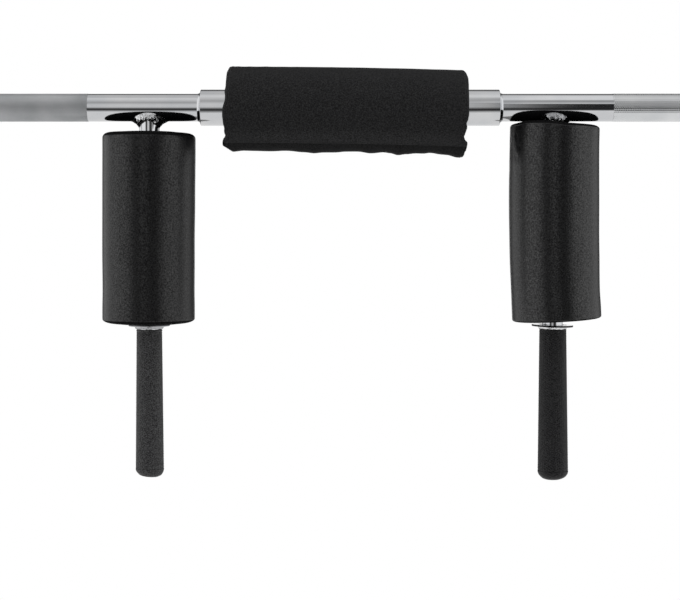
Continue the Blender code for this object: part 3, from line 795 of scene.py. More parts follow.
def makePadStop(name, side):
    x0 = side * arm["x"]
    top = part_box(name + "_pad_stop")[1].z + padStop["raise"][name]
    low = top - padStop["t"]
    inner, r, sink, uneven = (padStop[key] for key in ("innerR", "r", "sink", "uneven"))
    bevel, height = padStop["bevel"][name], padStop["weldHeight"][name]
    edge = r - padStop["draft"][name]
    plate = [(top, inner), (top, r), (low + bevel, edge), (low, edge - bevel), (low, inner)]
    plate = eased(plate, padStop["edge"], ring=True)
    wide, half, narrow = padStop["weldR"]
    under = [(low + sink, inner), (low + sink, wide), (low, wide), (low - padStop["hollow"] * height, half),
             (low - height, narrow), (low - height, inner)]
    bead = padStop["topBeadR"]
    over = [(top - sink, inner), (top - sink, inner + bead)]  # a quarter round, one unit high until it is scaled below
    over += [(top + math.sin(math.radians(15 * k)), inner + bead * math.cos(math.radians(15 * k))) for k in range(7)]
    tilt = math.tan(math.radians(padStop["tiltDeg"][name]))
    reach, pace = padStop["wander"]
    shapes = []
    for profile, kind in ((plate, "plate"), (under, "under"), (over, "over")):
        points, faces = turned(profile, "Z", x0, padStop["count"], True)
        moved = []
        for x, y, z in points:
            angle = math.atan2(y, x - x0)
            stray = reach * noise.noise(Vector((x, y, side)) * pace)
            ripple = 0.5 + 0.5 * math.cos(padStop["ripples"] * angle + stray)
            even, rippled = uneven.get(kind, (1, 0))
            if kind == "under" and z < low:
                z = low + (z - low) * (even + rippled * ripple)
            if kind == "over" and z > top:  # two lumps towards the front, the rod's middle left bare between them
                lumps = fade(abs(math.degrees(angle) - padStop["bareAt"]), *padStop["bareFade"])
                z = top + min(1.0, (z - top)) * padStop["topBead"][name] * lumps * (even + rippled * ripple)
            z -= tilt * (x - x0)
            moved.append((x, y, z))
        shapes.append((moved, faces))
    piece = joined(name + "_welded_washer", shapes, armChrome)
    piece.data.materials.append(weldChrome[padStop["weld"][name]])
    piece.data.materials.append(paintedRimShade[name])
    plateFaces = len(shapes[0][1])
    for face in piece.data.polygons[plateFaces:]:
        face.material_index = 1
    # the rim under the pad gets the dark chrome: painted shade
    for face in piece.data.polygons[:plateFaces]:
        if abs(face.normal.z) < padStop["rimNormal"] and math.hypot(face.center.x - x0, face.center.y) > wide:
            face.material_index = 2
    place(piece, "bar", "chrome", name + "_pad_stop")


grip = {
    "boreR": 11.1 * mm,
    "topR": {"left": 14.0 * mm, "right": 14.75 * mm},
    "lowR": {"left": 15.4 * mm, "right": 16.6 * mm},
    "aside": {"left": (0.0, 0.57 * mm), "right": (0.49 * mm, 0.49 * mm)},  # at the top and at the tip
    "dome": {"left": 8.8 * mm, "right": 9.8 * mm},
    "flat": {"left": 0.42, "right": 0.25},  # share of the radius that is flat at the tip
    "collar": 2.2 * mm,  # plain rim above the diamonds
    "endWall": 3.6 * mm,
    "lip": 0.4 * mm,
    "topDrop": {"left": 1.0 * mm, "right": -0.45 * mm},
    "pitch": 2.7 * mm,  # 2 mm on the real rubber, drawn coarser so that it shows
    "depth": 0.55 * mm,
    "wall": 0.5 * mm,
    "leanDeg": {"left": -5.0, "right": 0.0},  # the left tip is cut slightly askew
    "tipRaise": {"left": 0.6 * mm, "right": 0.0},
    "bandSink": 0.3 * mm,  # how far the plain core lies below the grooves
    "domeDeg": range(10, 91, 8),
    "edge": 0.3 * mm,
    "snug": 1.5 * mm,  # depth of rubber over which it stops following the rod
    "sharpDeg": 24.0,
}


def makeGrip(name, side):
    x0 = side * arm["x"]
    lowCorner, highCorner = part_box(name + "_grip")
    top, bottom = highCorner.z - grip["topDrop"][name], lowCorner.z + grip["tipRaise"][name]
    rTop, rLow, dome = grip["topR"][name], grip["lowR"][name], grip["dome"][name]
    bandTop = top - grip["collar"]
    bandEnd = bottom + dome
    core = grip["depth"] + grip["bandSink"]
    flat = grip["flat"][name] * rLow
    profile = [
        (bottom + grip["endWall"], 0.0), (bottom + grip["endWall"], grip["boreR"]), (top, grip["boreR"]),
        (top, rTop - grip["lip"]), (top - grip["lip"], rTop), (bandTop, rTop), (bandTop, rTop - core),
        (bandEnd, rLow - core), (bandEnd, rLow),
    ]
    for deg in grip["domeDeg"]:
        turn = math.radians(deg)
        profile.append((bottom + dome * (1 - math.sin(turn)), flat + (rLow - flat) * math.cos(turn)))
    profile.append((bottom, 0.0))
    points, faces = turned(eased(profile, grip["edge"]), "Z", x0)
    lean = math.tan(math.radians(grip["leanDeg"][name]))
    points = [(x, y, z + lean * (x - x0) * smooth((bandEnd - z) / dome)) for x, y, z in points]
    band = diamondBand(bandTop, bandTop - bandEnd, (rTop, rLow), grip["pitch"], grip["depth"], grip["wall"],
                       gripFinish[name], alongX=False, centre=x0)
    shapes = []
    for spots, quads in ((points, faces), band):  # the rubber is not quite even round the rod
        moved = []
        for x, y, z in spots:
            share = (top - z) / (top - bottom)
            shift = grip["aside"][name][0] * (1 - share) + grip["aside"][name][1] * share
            moved.append((x + shift * fade(math.hypot(x - x0, y), grip["boreR"], grip["snug"]), y, z))
        shapes.append((moved, quads))
    piece = joined(name + "_hand_grip", shapes, gripFinish[name], grip["sharpDeg"])
    place(piece, "bar", "rubber", name + "_grip")


makeBar()
makeCentreSleeve()
for name, side in sides.items():
    makeArm(name, side)
    makePadStop(name, side)
    makeGrip(name, side)
print("bar, arms and grips: done")


# roller pads

roller = {
    # how round the top and the bottom rim are, along the radius and along the axis
    "rims": {
        "left": ((8.0 * mm, 6.0 * mm), (12.0 * mm, 4.8 * mm)),
        "right": ((7.0 * mm, 4.4 * mm), (4.5 * mm, 2.6 * mm)),
    },
    "rimSteps": 9,
    "dome": 1.0 * mm,
    "flatShare": 0.6,
    "innerShares": (0.42, 0.5),  # rings on the flat face
    "domeShare": (0.4, 0.68),  # a ring between the flat face and the rim: share of the dome and of the radius
    "boreR": 13.7 * mm,
    "mouthR": 18.0 * mm,
    "mouthDepth": 5.0 * mm,
    # how round the mouth of the bore is: depth, then distance from the bore's or the mouth's radius
    "mouthRound": ((2.5 * mm, 1.6 * mm), (0.6 * mm, -0.7 * mm), (0.0, 1.0 * mm)),
    "rowStep": 3.0 * mm,
    "count": 144,
    "waver": 0.28 * mm,  # soft unevenness of the moulded foam
    "waverPace": (28, 16),  # how fast it changes across and along
    "offset": {"left": -0.8 * mm, "right": 1.3 * mm},
    "topRaise": {"left": 1.5 * mm, "right": 1.95 * mm},
    "lowDrop": {"left": 0.0, "right": 0.55 * mm},
    "tilts": {"left": (0.012, 0.0), "right": (0.0, -0.008)},  # of the top and bottom faces
    # the right pad's top is pushed up towards the middle of the bar: place from its axis and rise
    "crown": {
        "left": [(0, 0.0)],
        "right": [(-44 * mm, 0.0), (-34 * mm, 1.9 * mm), (-12 * mm, 1.9 * mm), (8 * mm, 0.0)],
    },
    "tiltReach": 40 * mm,
    "crownReach": 30 * mm,
    # the bow's shift is this times the squared distance from the height below, all in metres
    "bow": {"left": 0.0, "right": 0.166},
    "bowHeight": -95.0 * mm,
    # the foam is not quite even: height, then change of radius and of centre
    "wide": {
        "left": [(-220 * mm, -0.05 * mm), (-198 * mm, -0.33 * mm), (-155 * mm, 0.0),
                 (-100 * mm, 0.25 * mm), (-40 * mm, 0.55 * mm)],
        "right": [(-220 * mm, -0.76 * mm), (-198 * mm, -1.05 * mm), (-155 * mm, -0.6 * mm),
                  (-100 * mm, -0.25 * mm), (-40 * mm, -0.58 * mm)],
    },
    "aside": {
        "left": [(-220 * mm, 0.2 * mm), (-155 * mm, 0.0), (-100 * mm, 0.25 * mm), (-40 * mm, 0.55 * mm)],
        "right": [(-220 * mm, 0.4 * mm), (-198 * mm, 0.1 * mm), (-100 * mm, 0.4 * mm), (-40 * mm, 0.42 * mm)],
    },
    "stiffR": 15.0 * mm,  # inside this radius the foam stays straight on its liner
    "looseShare": 0.8,  # and from this share of its radius it moves in full
    "sharpDeg": 60.0,
    "cutNormal": 0.52,  # faces that look up or down this much are cut foam
    "nicks": {  # angle, height, size, depth
        "left": [(200, -190 * mm, 5 * mm, 0.5 * mm), (318, -60 * mm, 4 * mm, 0.4 * mm)],
        "right": [(184, -36 * mm, 4 * mm, 0.9 * mm), (190, -52 * mm, 6 * mm, 0.7 * mm),
                  (176, -68 * mm, 4 * mm, 0.6 * mm), (300, -205 * mm, 6 * mm, 0.5 * mm),
                  (206, -33 * mm, 3.2 * mm, 1.1 * mm), (213, -44 * mm, 3.6 * mm, 1.0 * mm),
                  (205, -55 * mm, 3.2 * mm, 0.9 * mm), (211, -70 * mm, 3 * mm, 0.8 * mm)],
    },
}


def makeRoller(name, side):
    x0 = side * arm["x"]
    lowCorner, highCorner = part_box(name + "_roller_pad")
    bottom, top = lowCorner.z - roller["lowDrop"][name], highCorner.z + roller["topRaise"][name]
    r = (highCorner.x - lowCorner.x) / 2
    rims = []
    for across, along in roller["rims"][name]:
        turns = [math.radians(90 * k / roller["rimSteps"]) for k in range(roller["rimSteps"] + 1)]
        rims.append([(roller["dome"] + along * (1 - math.cos(turn)), r - across * (1 - math.sin(turn)))
                     for turn in turns])
    middle = math.ceil((top - bottom) / roller["rowStep"])
    wallTop, wallLow = top - rims[0][-1][0], bottom + rims[1][-1][0]

    def endFace(level, inward, rim):  # from the bore round its mouth and over the rim; inward is -1 at the top
        mouth = [roller["boreR"], roller["mouthR"], roller["mouthR"]]
        steps = [(roller["mouthDepth"], roller["boreR"])]
        steps += [(depth, base + more) for base, (depth, more) in zip(mouth, roller["mouthRound"])]
        steps += [(0.0, share * r) for share in (*roller["innerShares"], roller["flatShare"])]
        drop, share = roller["domeShare"]
        steps += [(drop * roller["dome"], share * r)] + rim
        return [(level + inward * depth, radius) for depth, radius in steps]

    wall = [(wallTop + (wallLow - wallTop) * k / middle, r) for k in range(1, middle)]
    profile = endFace(top, -1, rims[0]) + wall + endFace(bottom, 1, rims[1])[::-1]
    points, faces = turned(profile, "Z", x0, roller["count"], True)
    (pace, paceAlong), reach = roller["waverPace"], roller["tiltReach"]
    moved = []
    for x, y, z in points:
        dx, away = x - x0, math.hypot(x - x0, y)
        angle = math.degrees(math.atan2(y, dx)) % 360
        give = fade(away, roller["stiffR"], roller["looseShare"] * r - roller["stiffR"])
        swell = roller["waver"] * noise.noise(Vector((x * pace, y * pace, z * paceAlong + side)))
        for nickAngle, height, size, depth in roller["nicks"][name]:
            arc = math.radians((angle - nickAngle + 180) % 360 - 180) * away
            apart = math.hypot(arc, z - height) / size
            swell -= depth * math.exp(-apart * apart * 2)
        scale = 1 + give * (swell + between(roller["wide"][name], z)) / away
        h = z - roller["bowHeight"]
        bow = roller["bow"][name]
        shift = roller["offset"][name] + bow * h * h + between(roller["aside"][name], z)
        topTilt, lowTilt = roller["tilts"][name]
        tilt = 2 * bow * h + topTilt * smooth(1 - (top - z) / reach) + lowTilt * smooth(1 - (z - bottom) / reach)
        rise = between(roller["crown"][name], dx) * smooth(1 - (top - z) / roller["crownReach"]) * give
        moved.append((x0 + dx * scale + give * shift, y * scale, z - give * dx * tilt + rise))
    piece = addPiece(name + "_foam_roller", moved, faces, rollerFoam[name], roller["sharpDeg"])
    piece.data.materials.append(cutFoam)
    for face in piece.data.polygons:
        away = math.hypot(face.center.x - x0, face.center.y)
        if abs(face.normal.z) > roller["cutNormal"] or away < roller["flatShare"] * r:
            face.material_index = 1
    place(piece, name + "_roller", "foam", name + "_roller_pad")


liner = {"innerR": 11.6 * mm, "edge": 0.4 * mm}


def makeLiner(name, side):
    lowCorner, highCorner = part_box(name + "_pad_liner")
    inner, outer = liner["innerR"], (highCorner.x - lowCorner.x) / 2
    corners = [(lowCorner.z, inner), (lowCorner.z, outer), (highCorner.z, outer), (highCorner.z, inner)]
    shape = turned(eased(corners, liner["edge"], ring=True), "Z", side * arm["x"], ring=True)
    place(addPiece(name + "_roller_tube", *shape, linerPlastic), name + "_roller", "plastic", name + "_pad_liner")


for name, side in sides.items():
    makeRoller(name, side)
    makeLiner(name, side)
print("rollers: done")


# neck pad

neck = {
    "left": -136.0 * mm,
    "right": 127.6 * mm,
    "foamR": 43.4 * mm,
    "foamInnerR": 20.0 * mm,
    "clothGap": 0.3 * mm,
    "clothT": 1.1 * mm,
    "hemT": 0.7 * mm,
    "hemDeg": 14.0,
    "stripT": 0.7 * mm,
    "stripGap": 0.2 * mm,
    "stripInset": 14.0 * mm,
    "dip": 2.0 * mm,
    "rise": 1.2 * mm,
    "firstDeg": 3.0,
    "flapDeg": 60.0,
    "sagLeft": 0.45 * mm,
    "sagMore": 4.2 * mm,
    "sagPower": 2.3,
    "endZone": 8.5 * mm,
    # how round the pad's ends are, by angle above the front
    "endRound": {
        "left": [(-130, 4 * mm), (-90, 3.6 * mm), (-60, 3.2 * mm), (55, 4 * mm), (80, 2.6 * mm), (105, 2.6 * mm),
                 (130, 4 * mm)],
        "right": [(-130, 4 * mm), (-90, 2.5 * mm), (-55, 3 * mm), (40, 4.5 * mm), (80, 6.5 * mm), (105, 6.5 * mm),
                  (130, 5 * mm)],
    },
    "slitDeg": 96.0,
    "rowDeg": 2.5,
    "column": 3.0 * mm,
    # how far each rim stands to the right of a square cut, in mm, by angle above the front
    "rimShift": {
        "left": [(-120, 1.0), (-95, 4.4), (-85, 4.4), (-77, 2.6), (-73, 0.0), (-69, -2.6), (-65, -2.2), (-56, -1.2),
                 (-49, 1.9), (-39, 0.5), (-33, 0.8), (-25, -0.4), (-13, -1.1), (-5, -0.7), (10, 1.9), (15, 1.9),
                 (21, 1.3), (31, 2.2), (58, 2.4), (75, 3.8), (90, 4.9), (130, 3.0)],
        "right": [(-150, -3.5), (-130, -3.5), (-105, -4.0), (-95, -5.2), (-85, -5.0), (-74, -4.7), (-69, -3.4),
                  (-64, -2.7), (-54, -2.8), (-51, -4.2), (-48, -6.0), (-44, -7.0), (-40, -6.8), (-36, -5.9),
                  (-30, -4.7), (-26, -3.9), (-20, -4.8), (-14, -3.1), (-7, -2.2), (3, -2.2), (30, -1.9), (45, -1.6),
                  (60, -1.4), (70, -1.8), (90, -1.4), (130, -1.0)],
    },
    "setBack": 2.5 * mm,  # of the first layer and the foam behind the flap's rims
    # how far the loose cloth hangs under the pad, by place along the bar, in mm
    "hang": [(-130, 1.9), (-118, 1.2), (-106, 1.5), (-88, 1.9), (-70, 1.3), (-50, 2.8), (-40, 3.8), (-30, 2.7),
             (-17, 2.5), (-5, 1.4), (8, 1.4), (21, 3.0), (36, 1.6), (43, 2.4), (51, 4.4), (60, 3.1), (71, 1.9),
             (79, 1.9), (86, 0.9), (99, 2.3), (106, 2.5), (119, 4.4), (127, 4.0)],
    "under": (-92, 42),  # angle above the front where it hangs most, and how far round from there it hangs
    "hangFrom": 12,  # the first layer lies flat up to this many degrees short of the flap's edge
    "hangSwell": 1.4,  # above 1 it hangs in full some way to each side of the middle
    "puckers": 0.55 * mm,
    "puckerReach": 16 * mm,  # they die away from the rims over this
    # how fine: degrees round the pad for one step, steps a metre along it; then the noise's layer
    "puckerNoise": (9, 12, 4.0),
    "creases": 0.35 * mm,
    "creaseNoise": (14, 42, 9.0),
    "calm": (0.3, 0.7),  # share of both where the layers overlap, and what is added elsewhere
    # where round the pad each change starts, and its width, in degrees
    "calmOut": (60, 20),
    "calmIn": (340, 30),
    "dipOut": (58, 26),
    "dipIn": (334, 26),
    "flapIn": (330, 30),
    "behindIn": (-4, 6),
    "behindOut": (59, 8),

    "rimReach": 30 * mm,  # how far in the shift of a rim reaches
    "hemRise": 9,  # degrees over which the hem thickens
    "edgeRound": 1.0,  # degrees over which the flap's edge is rounded
    "edgeLeast": 0.06,  # square of the share of the thickness left at that edge
    "fineDeg": 20,  # one row a degree near the flap's edge
    "edgeDeg": (0.6, 0.25, 0.0),  # and the last rows, in degrees from it
    "slitHalf": 0.5,
    "foamRows": 120,
    "foamInset": 0.5 * mm,  # the foam ends this far inside the cloth
    # the dished end faces: how far each ring stands out past the rim, and its drop in radius
    "dish": [(-4.0 * mm, -21 * mm), (-3.0 * mm, -13 * mm), (-1.4 * mm, -7 * mm)],
    "faceSplit": 20 * mm,
    "faceSag": (0.75, 0.3),  # share of the droop on the end face, for a smaller and a larger drop than that
    "faceLift": 0.3,  # share of the dip on the end face
    "stripDeg": range(12, 49, 3),
    "stripColumns": 40,
}


def sag(x):  # the soft pad droops a little towards its right end
    t = (x - neck["left"]) / (neck["right"] - neck["left"])
    return -neck["sagLeft"] - neck["sagMore"] * max(0.0, t) ** neck["sagPower"]


def padStations():  # places along the pad with their distance from its end, close together near the ends
    insets = [neck["endZone"] * (1 - math.cos(math.radians(10 * k))) for k in range(10)]
    start, end = neck["left"] + insets[-1], neck["right"] - insets[-1]
    count = round((end - start) / neck["column"])
    middle = [start + (end - start) * k / count for k in range(1, count)]
    return ([(neck["left"] + d, d) for d in insets] + [(x, neck["endZone"]) for x in middle]
            + [(neck["right"] - d, d) for d in reversed(insets)])


def onPad(turn, r, x, lift):  # turn runs down the front from just above its middle, once round and on
    angle = math.radians(neck["firstDeg"] - turn)
    return (x, -r * math.cos(angle), r * math.sin(angle) + lift)


def frontAngle(turn):
    return (neck["firstDeg"] - turn + 180) % 360 - 180


def endDrop(turn, x, inset):  # the foam's rounded ends; a negative inset is a drop on the end face
    if inset < 0:
        return inset
    r = between(neck["endRound"]["left" if x < 0 else "right"], frontAngle(turn))
    return -r * (1 - math.sqrt(1 - (1 - min(1.0, inset / r)) ** 2))


def clothLift(turn):  # the first layer lies in the foam's dip, the flap rises over it
    return -neck["dip"] * (1 - fade(turn, *neck["dipOut"])) + neck["rise"] * fade(turn, *neck["flapIn"])


def foamLift(turn):
    turn %= 360
    return -neck["dip"] * (1 - fade(turn, *neck["dipOut"]) + fade(turn, *neck["dipIn"]))


def rimMove(turn, x):  # the cloth ends are not cut square
    behind = neck["setBack"] * fade(turn, *neck["behindIn"]) * (1 - fade(turn, *neck["behindOut"]))
    move = 0.0
    for name, toRim in (("left", x - neck["left"]), ("right", neck["right"] - x)):
        shift = between(neck["rimShift"][name], frontAngle(turn)) * mm - sides[name] * behind
        move += shift * (1 - smooth(toRim / neck["rimReach"]))
    return move


def underShare(angle):  # 1 under the pad, falling to 0 on both sides
    middle, reach = neck["under"]
    return max(0.0, 1 - abs(angle - middle) / reach)


def clothLoose(turn, x):  # folds under the pad, small puckers at the rims, creases all over
    angle = frontAngle(turn)
    under = underShare(angle) if turn > neck["flapDeg"] - neck["hangFrom"] else 0.0
    loose = between(neck["hang"], x / mm) * mm * smooth(under * neck["hangSwell"])
    toEnd = min(x - neck["left"], neck["right"] - x)
    deg, pace, layer = neck["puckerNoise"]
    rim = math.exp(-toEnd / neck["puckerReach"]) * (0.5 + 0.5 * noise.noise(Vector((angle / deg, x * pace, layer))))
    deg, pace, layer = neck["creaseNoise"]
    crease = 0.5 + 0.5 * noise.noise(Vector((x * pace, angle / deg, layer)))
    least, rest = neck["calm"]
    calm = least + rest * fade(turn, *neck["calmOut"]) * (1 - fade(turn, *neck["calmIn"]))
    return loose + (neck["puckers"] * rim + neck["creases"] * crease) * calm


drape = {
    "rowDeg": 6,
    "foamDeg": 3,
    "columns": 48,
    "frames": 18,
    "quality": 6,
    "mass": 0.15,
    "bending": 0.6,
    "slack": 0.005,  # share by which the cloth is cut too large
    "tension": 40.0,
    "standOff": 0.3 * mm,
    "foamDistance": 0.3 * mm,  # outer thickness of the foam for the solver
    "clothDistance": 0.6 * mm,  # least distance that the cloth keeps
    "heldDeg": (72, 405),  # fastened before and after
    "kept": 0.6,  # share of the movement that is kept, so that the cover stays clear of the foam
    "cap": 1.2 * mm,
    "dent": (0.25 * mm, 0.6 * mm),  # how far the folds may sink in, anywhere and more under the pad
    "steady": (0.75, 90, 14),  # share taken away at the measured outline, its angle and how far round it goes
}


def drapedFolds():  # cloth simulation: the cover settles over the foam under its own weight, flap and rims held
    columns, rows = drape["columns"], int((360 + neck["flapDeg"]) / drape["rowDeg"])
    turns = [k * drape["rowDeg"] for k in range(rows + 1)]
    places = [neck["left"] + (neck["right"] - neck["left"]) * k / columns for k in range(columns + 1)]

    def skin(label, around, radius):
        points = [onPad(turn, radius(turn), x, 0.0) for turn in around for x in places]
        wide = len(places)
        faces = [(i * wide + j, (i + 1) * wide + j, (i + 1) * wide + j + 1, i * wide + j + 1)
                 for i in range(len(around) - 1) for j in range(columns)]
        mesh = bpy.data.meshes.new(label)
        mesh.from_pydata(points, [], faces)
        piece = bpy.data.objects.new(label, mesh)
        bpy.context.scene.collection.objects.link(piece)
        return piece

    inner = skin("foam stand-in", range(0, 361, drape["foamDeg"]), lambda turn: neck["foamR"] - drape["standOff"])
    outer = skin("cover stand-in", turns,
                 lambda turn: neck["foamR"] + neck["clothGap"] + clothLift(turn) + neck["clothT"] / 2)
    start = [v.co.copy() for v in outer.data.vertices]
    first, last = drape["heldDeg"]
    held = [k for k in range(len(start))
            if not first < turns[k // len(places)] < last or k % len(places) in (0, columns)]
    outer.vertex_groups.new(name="held").add(held, 1.0, "ADD")
    inner.modifiers.new("push", "COLLISION")
    inner.collision.thickness_outer = drape["foamDistance"]
    cloth = outer.modifiers.new("drape", "CLOTH")
    cloth.settings.quality = drape["quality"]
    cloth.settings.mass = drape["mass"]
    cloth.settings.bending_stiffness = drape["bending"]
    cloth.settings.tension_stiffness = drape["tension"]
    cloth.settings.compression_stiffness = drape["tension"]
    cloth.settings.shrink_min = -drape["slack"]
    cloth.settings.vertex_group_mass = "held"
    cloth.collision_settings.distance_min = drape["clothDistance"]
    cloth.collision_settings.use_self_collision = False
    cloth.point_cache.frame_start, cloth.point_cache.frame_end = 1, drape["frames"]
    for step in range(1, drape["frames"] + 1):
        bpy.context.scene.frame_set(step)
    settled = outer.evaluated_get(bpy.context.evaluated_depsgraph_get()).to_mesh()
    ends = [v.co.copy() for v in settled.vertices]
    bpy.context.scene.frame_set(1)
    for piece in (inner, outer):
        bpy.data.objects.remove(piece)
    folds, capped = [], 0
    anywhere, more = drape["dent"]
    most, where, reach = drape["steady"]
    for i, turn in enumerate(turns):
        away = Vector(onPad(turn, 1.0, 0.0, 0.0))
        row = [(ends[k] - start[k]).dot(away) for k in range(i * len(places), (i + 1) * len(places))]
        middle = sum(row) / len(row)
        row = [drape["kept"] * (rise - middle) for rise in row]
        dent = anywhere + more * underShare(frontAngle(turn))
        capped += sum(not -dent <= rise <= drape["cap"] for rise in row)
        share = 1 - most * math.exp(-((abs(frontAngle(turn)) - where) / reach) ** 2)  # the outline stays as measured
        folds.append([share * min(drape["cap"], max(-dent, rise)) for rise in row])
    sizes = sorted(abs(rise) for row in folds for rise in row)
    print("cloth: folds up to %.2f mm, half above %.2f mm, %d of %d points capped"
          % (sizes[-1] / mm, sizes[len(sizes) // 2] / mm, capped, len(sizes)))
    return folds


def foldAt(turn, x):
    i = min(turn / drape["rowDeg"], len(folds) - 1.001)
    j = (x - neck["left"]) / (neck["right"] - neck["left"]) * drape["columns"]
    j = min(max(j, 0.0), drape["columns"] - 0.001)
    a, b = int(i), int(j)
    s, t = i - a, j - b
    near = folds[a][b] * (1 - t) + folds[a][b + 1] * t
    return near * (1 - s) + (folds[a + 1][b] * (1 - t) + folds[a + 1][b + 1] * t) * s


folds = drapedFolds()


def slab(name, turns, stations, inner, outer, material, sharpDeg=50.0):
    points, faces, uv = [], [], []
    for make in (inner, outer):
        for turn in turns:
            for station in stations:
                points.append(make(turn, *station))
                uv.append((station[0], math.radians(turn) * neck["foamR"]))
    rows, columns = len(turns), len(stations)
    total = rows * columns

    def at(layer, i, j):
        return layer * total + i * columns + j

    for i in range(rows - 1):
        for j in range(columns - 1):
            quad = [(i, j), (i + 1, j), (i + 1, j + 1), (i, j + 1)]
            faces.append(tuple(at(1, a, b) for a, b in quad))
            faces.append(tuple(at(0, a, b) for a, b in reversed(quad)))
    for j in range(columns - 1):
        for i in (0, rows - 1):
            faces.append((at(0, i, j), at(1, i, j), at(1, i, j + 1), at(0, i, j + 1)))
    for i in range(rows - 1):
        for j in (0, columns - 1):
            faces.append((at(0, i + 1, j), at(1, i + 1, j), at(1, i, j), at(0, i, j)))
    return addPiece(name, points, faces, material, sharpDeg, uv)


def coverR(turn, x, inset):
    r = neck["foamR"] + neck["clothGap"] + clothLift(turn) + endDrop(turn, x, inset)
    return r + clothLoose(turn, x) + foldAt(turn, x)


def clothThickness(turn):  # the flap's hem is folded double and its edge is rounded
    last = 360 + neck["flapDeg"]
    hem = neck["hemT"] * fade(turn, last - neck["hemDeg"], neck["hemRise"])
    edge = math.sqrt(max(neck["edgeLeast"], 1 - max(0.0, 1 - (last - turn) / neck["edgeRound"]) ** 2))
    return (neck["clothT"] + hem) * edge


def coverOuter(turn, x, inset):
    return onPad(turn, coverR(turn, x, inset) + clothThickness(turn), x + rimMove(turn, x), sag(x))


def makeNeckPad():
    last = 360 + neck["flapDeg"]
    stations = padStations()
    fine = last - neck["fineDeg"]
    turns = [k * neck["rowDeg"] for k in range(int(fine / neck["rowDeg"]) + 1)]
    turns += [fine + k for k in range(1, neck["fineDeg"])] + [last - back for back in neck["edgeDeg"]]

    def coverInner(turn, x, inset):
        return onPad(turn, coverR(turn, x, inset), x + rimMove(turn, x), sag(x))

    cover = slab("cloth_cover", turns, stations, coverInner, coverOuter, cloth)

    slit, half, count, ends = (neck[key] for key in ("slitDeg", "slitHalf", "foamRows", "foamInset"))
    foamTurns = [slit + half + (360 - 2 * half) * k / count for k in range(count + 1)]
    rows = [(x + math.copysign(ends, -x) * (inset < neck["endZone"]), inset) for x, inset in stations]
    rows = [(neck["left"] - out + ends, inset) for out, inset in neck["dish"]] + rows
    rows += [(neck["right"] + out - ends, inset) for out, inset in reversed(neck["dish"])]
    first, final = rows[0][0], rows[-1][0]
    where = {x: first + (final - first) * k / (len(rows) - 1) for k, (x, inset) in enumerate(rows)}
    outside, inside = neck["faceSag"]

    def foamInner(turn, x, inset):
        return onPad(turn, neck["foamInnerR"], where[x], 0.0)

    def foamOuter(turn, x, inset):
        under = inset >= 0  # under the cloth, not on the end face
        fall = sag(x) * (1.0 if under else outside if inset > -neck["faceSplit"] else inside)
        r = neck["foamR"] + foamLift(turn) * (1.0 if under else neck["faceLift"]) + endDrop(turn, x, inset)
        return onPad(turn, r, x + rimMove(turn % 360, x), fall)

    foam = slab("foam_core", foamTurns, rows, foamInner, foamOuter, neckFoam)
    place(foam, "neck_pad", "foam", "neck_foam")
    place(cover, "neck_pad", "cloth", "neck_cover")
    stripR = neck["foamR"] - neck["dip"] + neck["clothGap"] + neck["clothT"] + neck["stripGap"]
    start, end = neck["left"] + neck["stripInset"], neck["right"] - neck["stripInset"]
    columns = neck["stripColumns"]
    stripStations = [(start + (end - start) * k / columns, 0.0) for k in range(columns + 1)]
    for name, node, r, material in (
        ("loop_tape", "loop_strip", stripR, loopTape),
        ("hook_tape", "hook_strip", stripR + neck["stripT"] + neck["stripGap"], hookTape),
    ):
        def low(turn, x, inset, base=r):
            return onPad(turn, base, x, sag(x))

        def high(turn, x, inset, base=r):
            return onPad(turn, base + neck["stripT"], x, sag(x))

        place(slab(name, neck["stripDeg"], stripStations, low, high, material), "neck_pad", "closure_tape", node)


# seam stitches, laid along the hems with Geometry Nodes

stitch = {
    "pitch": 3.6 * mm,
    "length": 2.6 * mm,
    "thread": 0.24 * mm,
    "sides": 6,
    "above": 0.1 * mm,
    "inset": 4.5 * mm,
    "hemDeg": 2.4,  # from the flap's edge
    "rimDeg": (66, 3, 2),  # first degree, degrees left free before the flap's edge, and the step
}


def stitchTree():
    tree, given = newTree("lock stitch", (("Seam", "Geometry"), ("Pitch", "Float"), ("Length", "Float"),
                                          ("Thread", "Float"), ("Material", "Material")))
    path = addNode(tree, "GeometryNodeMeshToCurve", {0: given["Seam"]})
    dots = addNode(tree, "GeometryNodeCurveToPoints", {0: path.outputs[0], "Length": given["Pitch"]}, mode="LENGTH")
    size = {"Vertices": stitch["sides"], "Radius": given["Thread"], "Depth": given["Length"]}
    loop = addNode(tree, "GeometryNodeMeshCylinder", size, fill_type="NGON")
    laid = {"Points": dots.outputs["Points"], "Instance": loop.outputs[0], "Rotation": dots.outputs["Rotation"]}
    endTree(tree, addNode(tree, "GeometryNodeInstanceOnPoints", laid).outputs[0], given["Material"])
    return tree


def makeStitches():
    last, inset = 360 + neck["flapDeg"], stitch["inset"]
    first, free, step = stitch["rimDeg"]
    rows = [[(last - stitch["hemDeg"], x, d) for x, d in padStations() if d >= neck["endZone"]]]
    for x in (neck["left"] + inset, neck["right"] - inset):
        rows.append([(turn, x, inset) for turn in range(first, int(last) - free, step)])
    points, edges = [], []
    for row in rows:
        edges += [(len(points) + k, len(points) + k + 1) for k in range(len(row) - 1)]
        for turn, x, d in row:
            spot = Vector(coverOuter(turn, x, d))
            out = Vector((0, spot.y, spot.z - sag(x))).normalized()
            points.append(spot + out * stitch["above"])
    seam = bpy.data.meshes.new("seam")
    seam.from_pydata(points, edges, [])
    values = {"Pitch": stitch["pitch"], "Length": stitch["length"], "Thread": stitch["thread"], "Material": thread}
    piece = addPiece("seam_stitches", *grown(stitchTree(), values, seam), thread)
    place(piece, "neck_pad", "cloth")


makeNeckPad()
makeStitches()
print("neck pad: done")


# loading ends

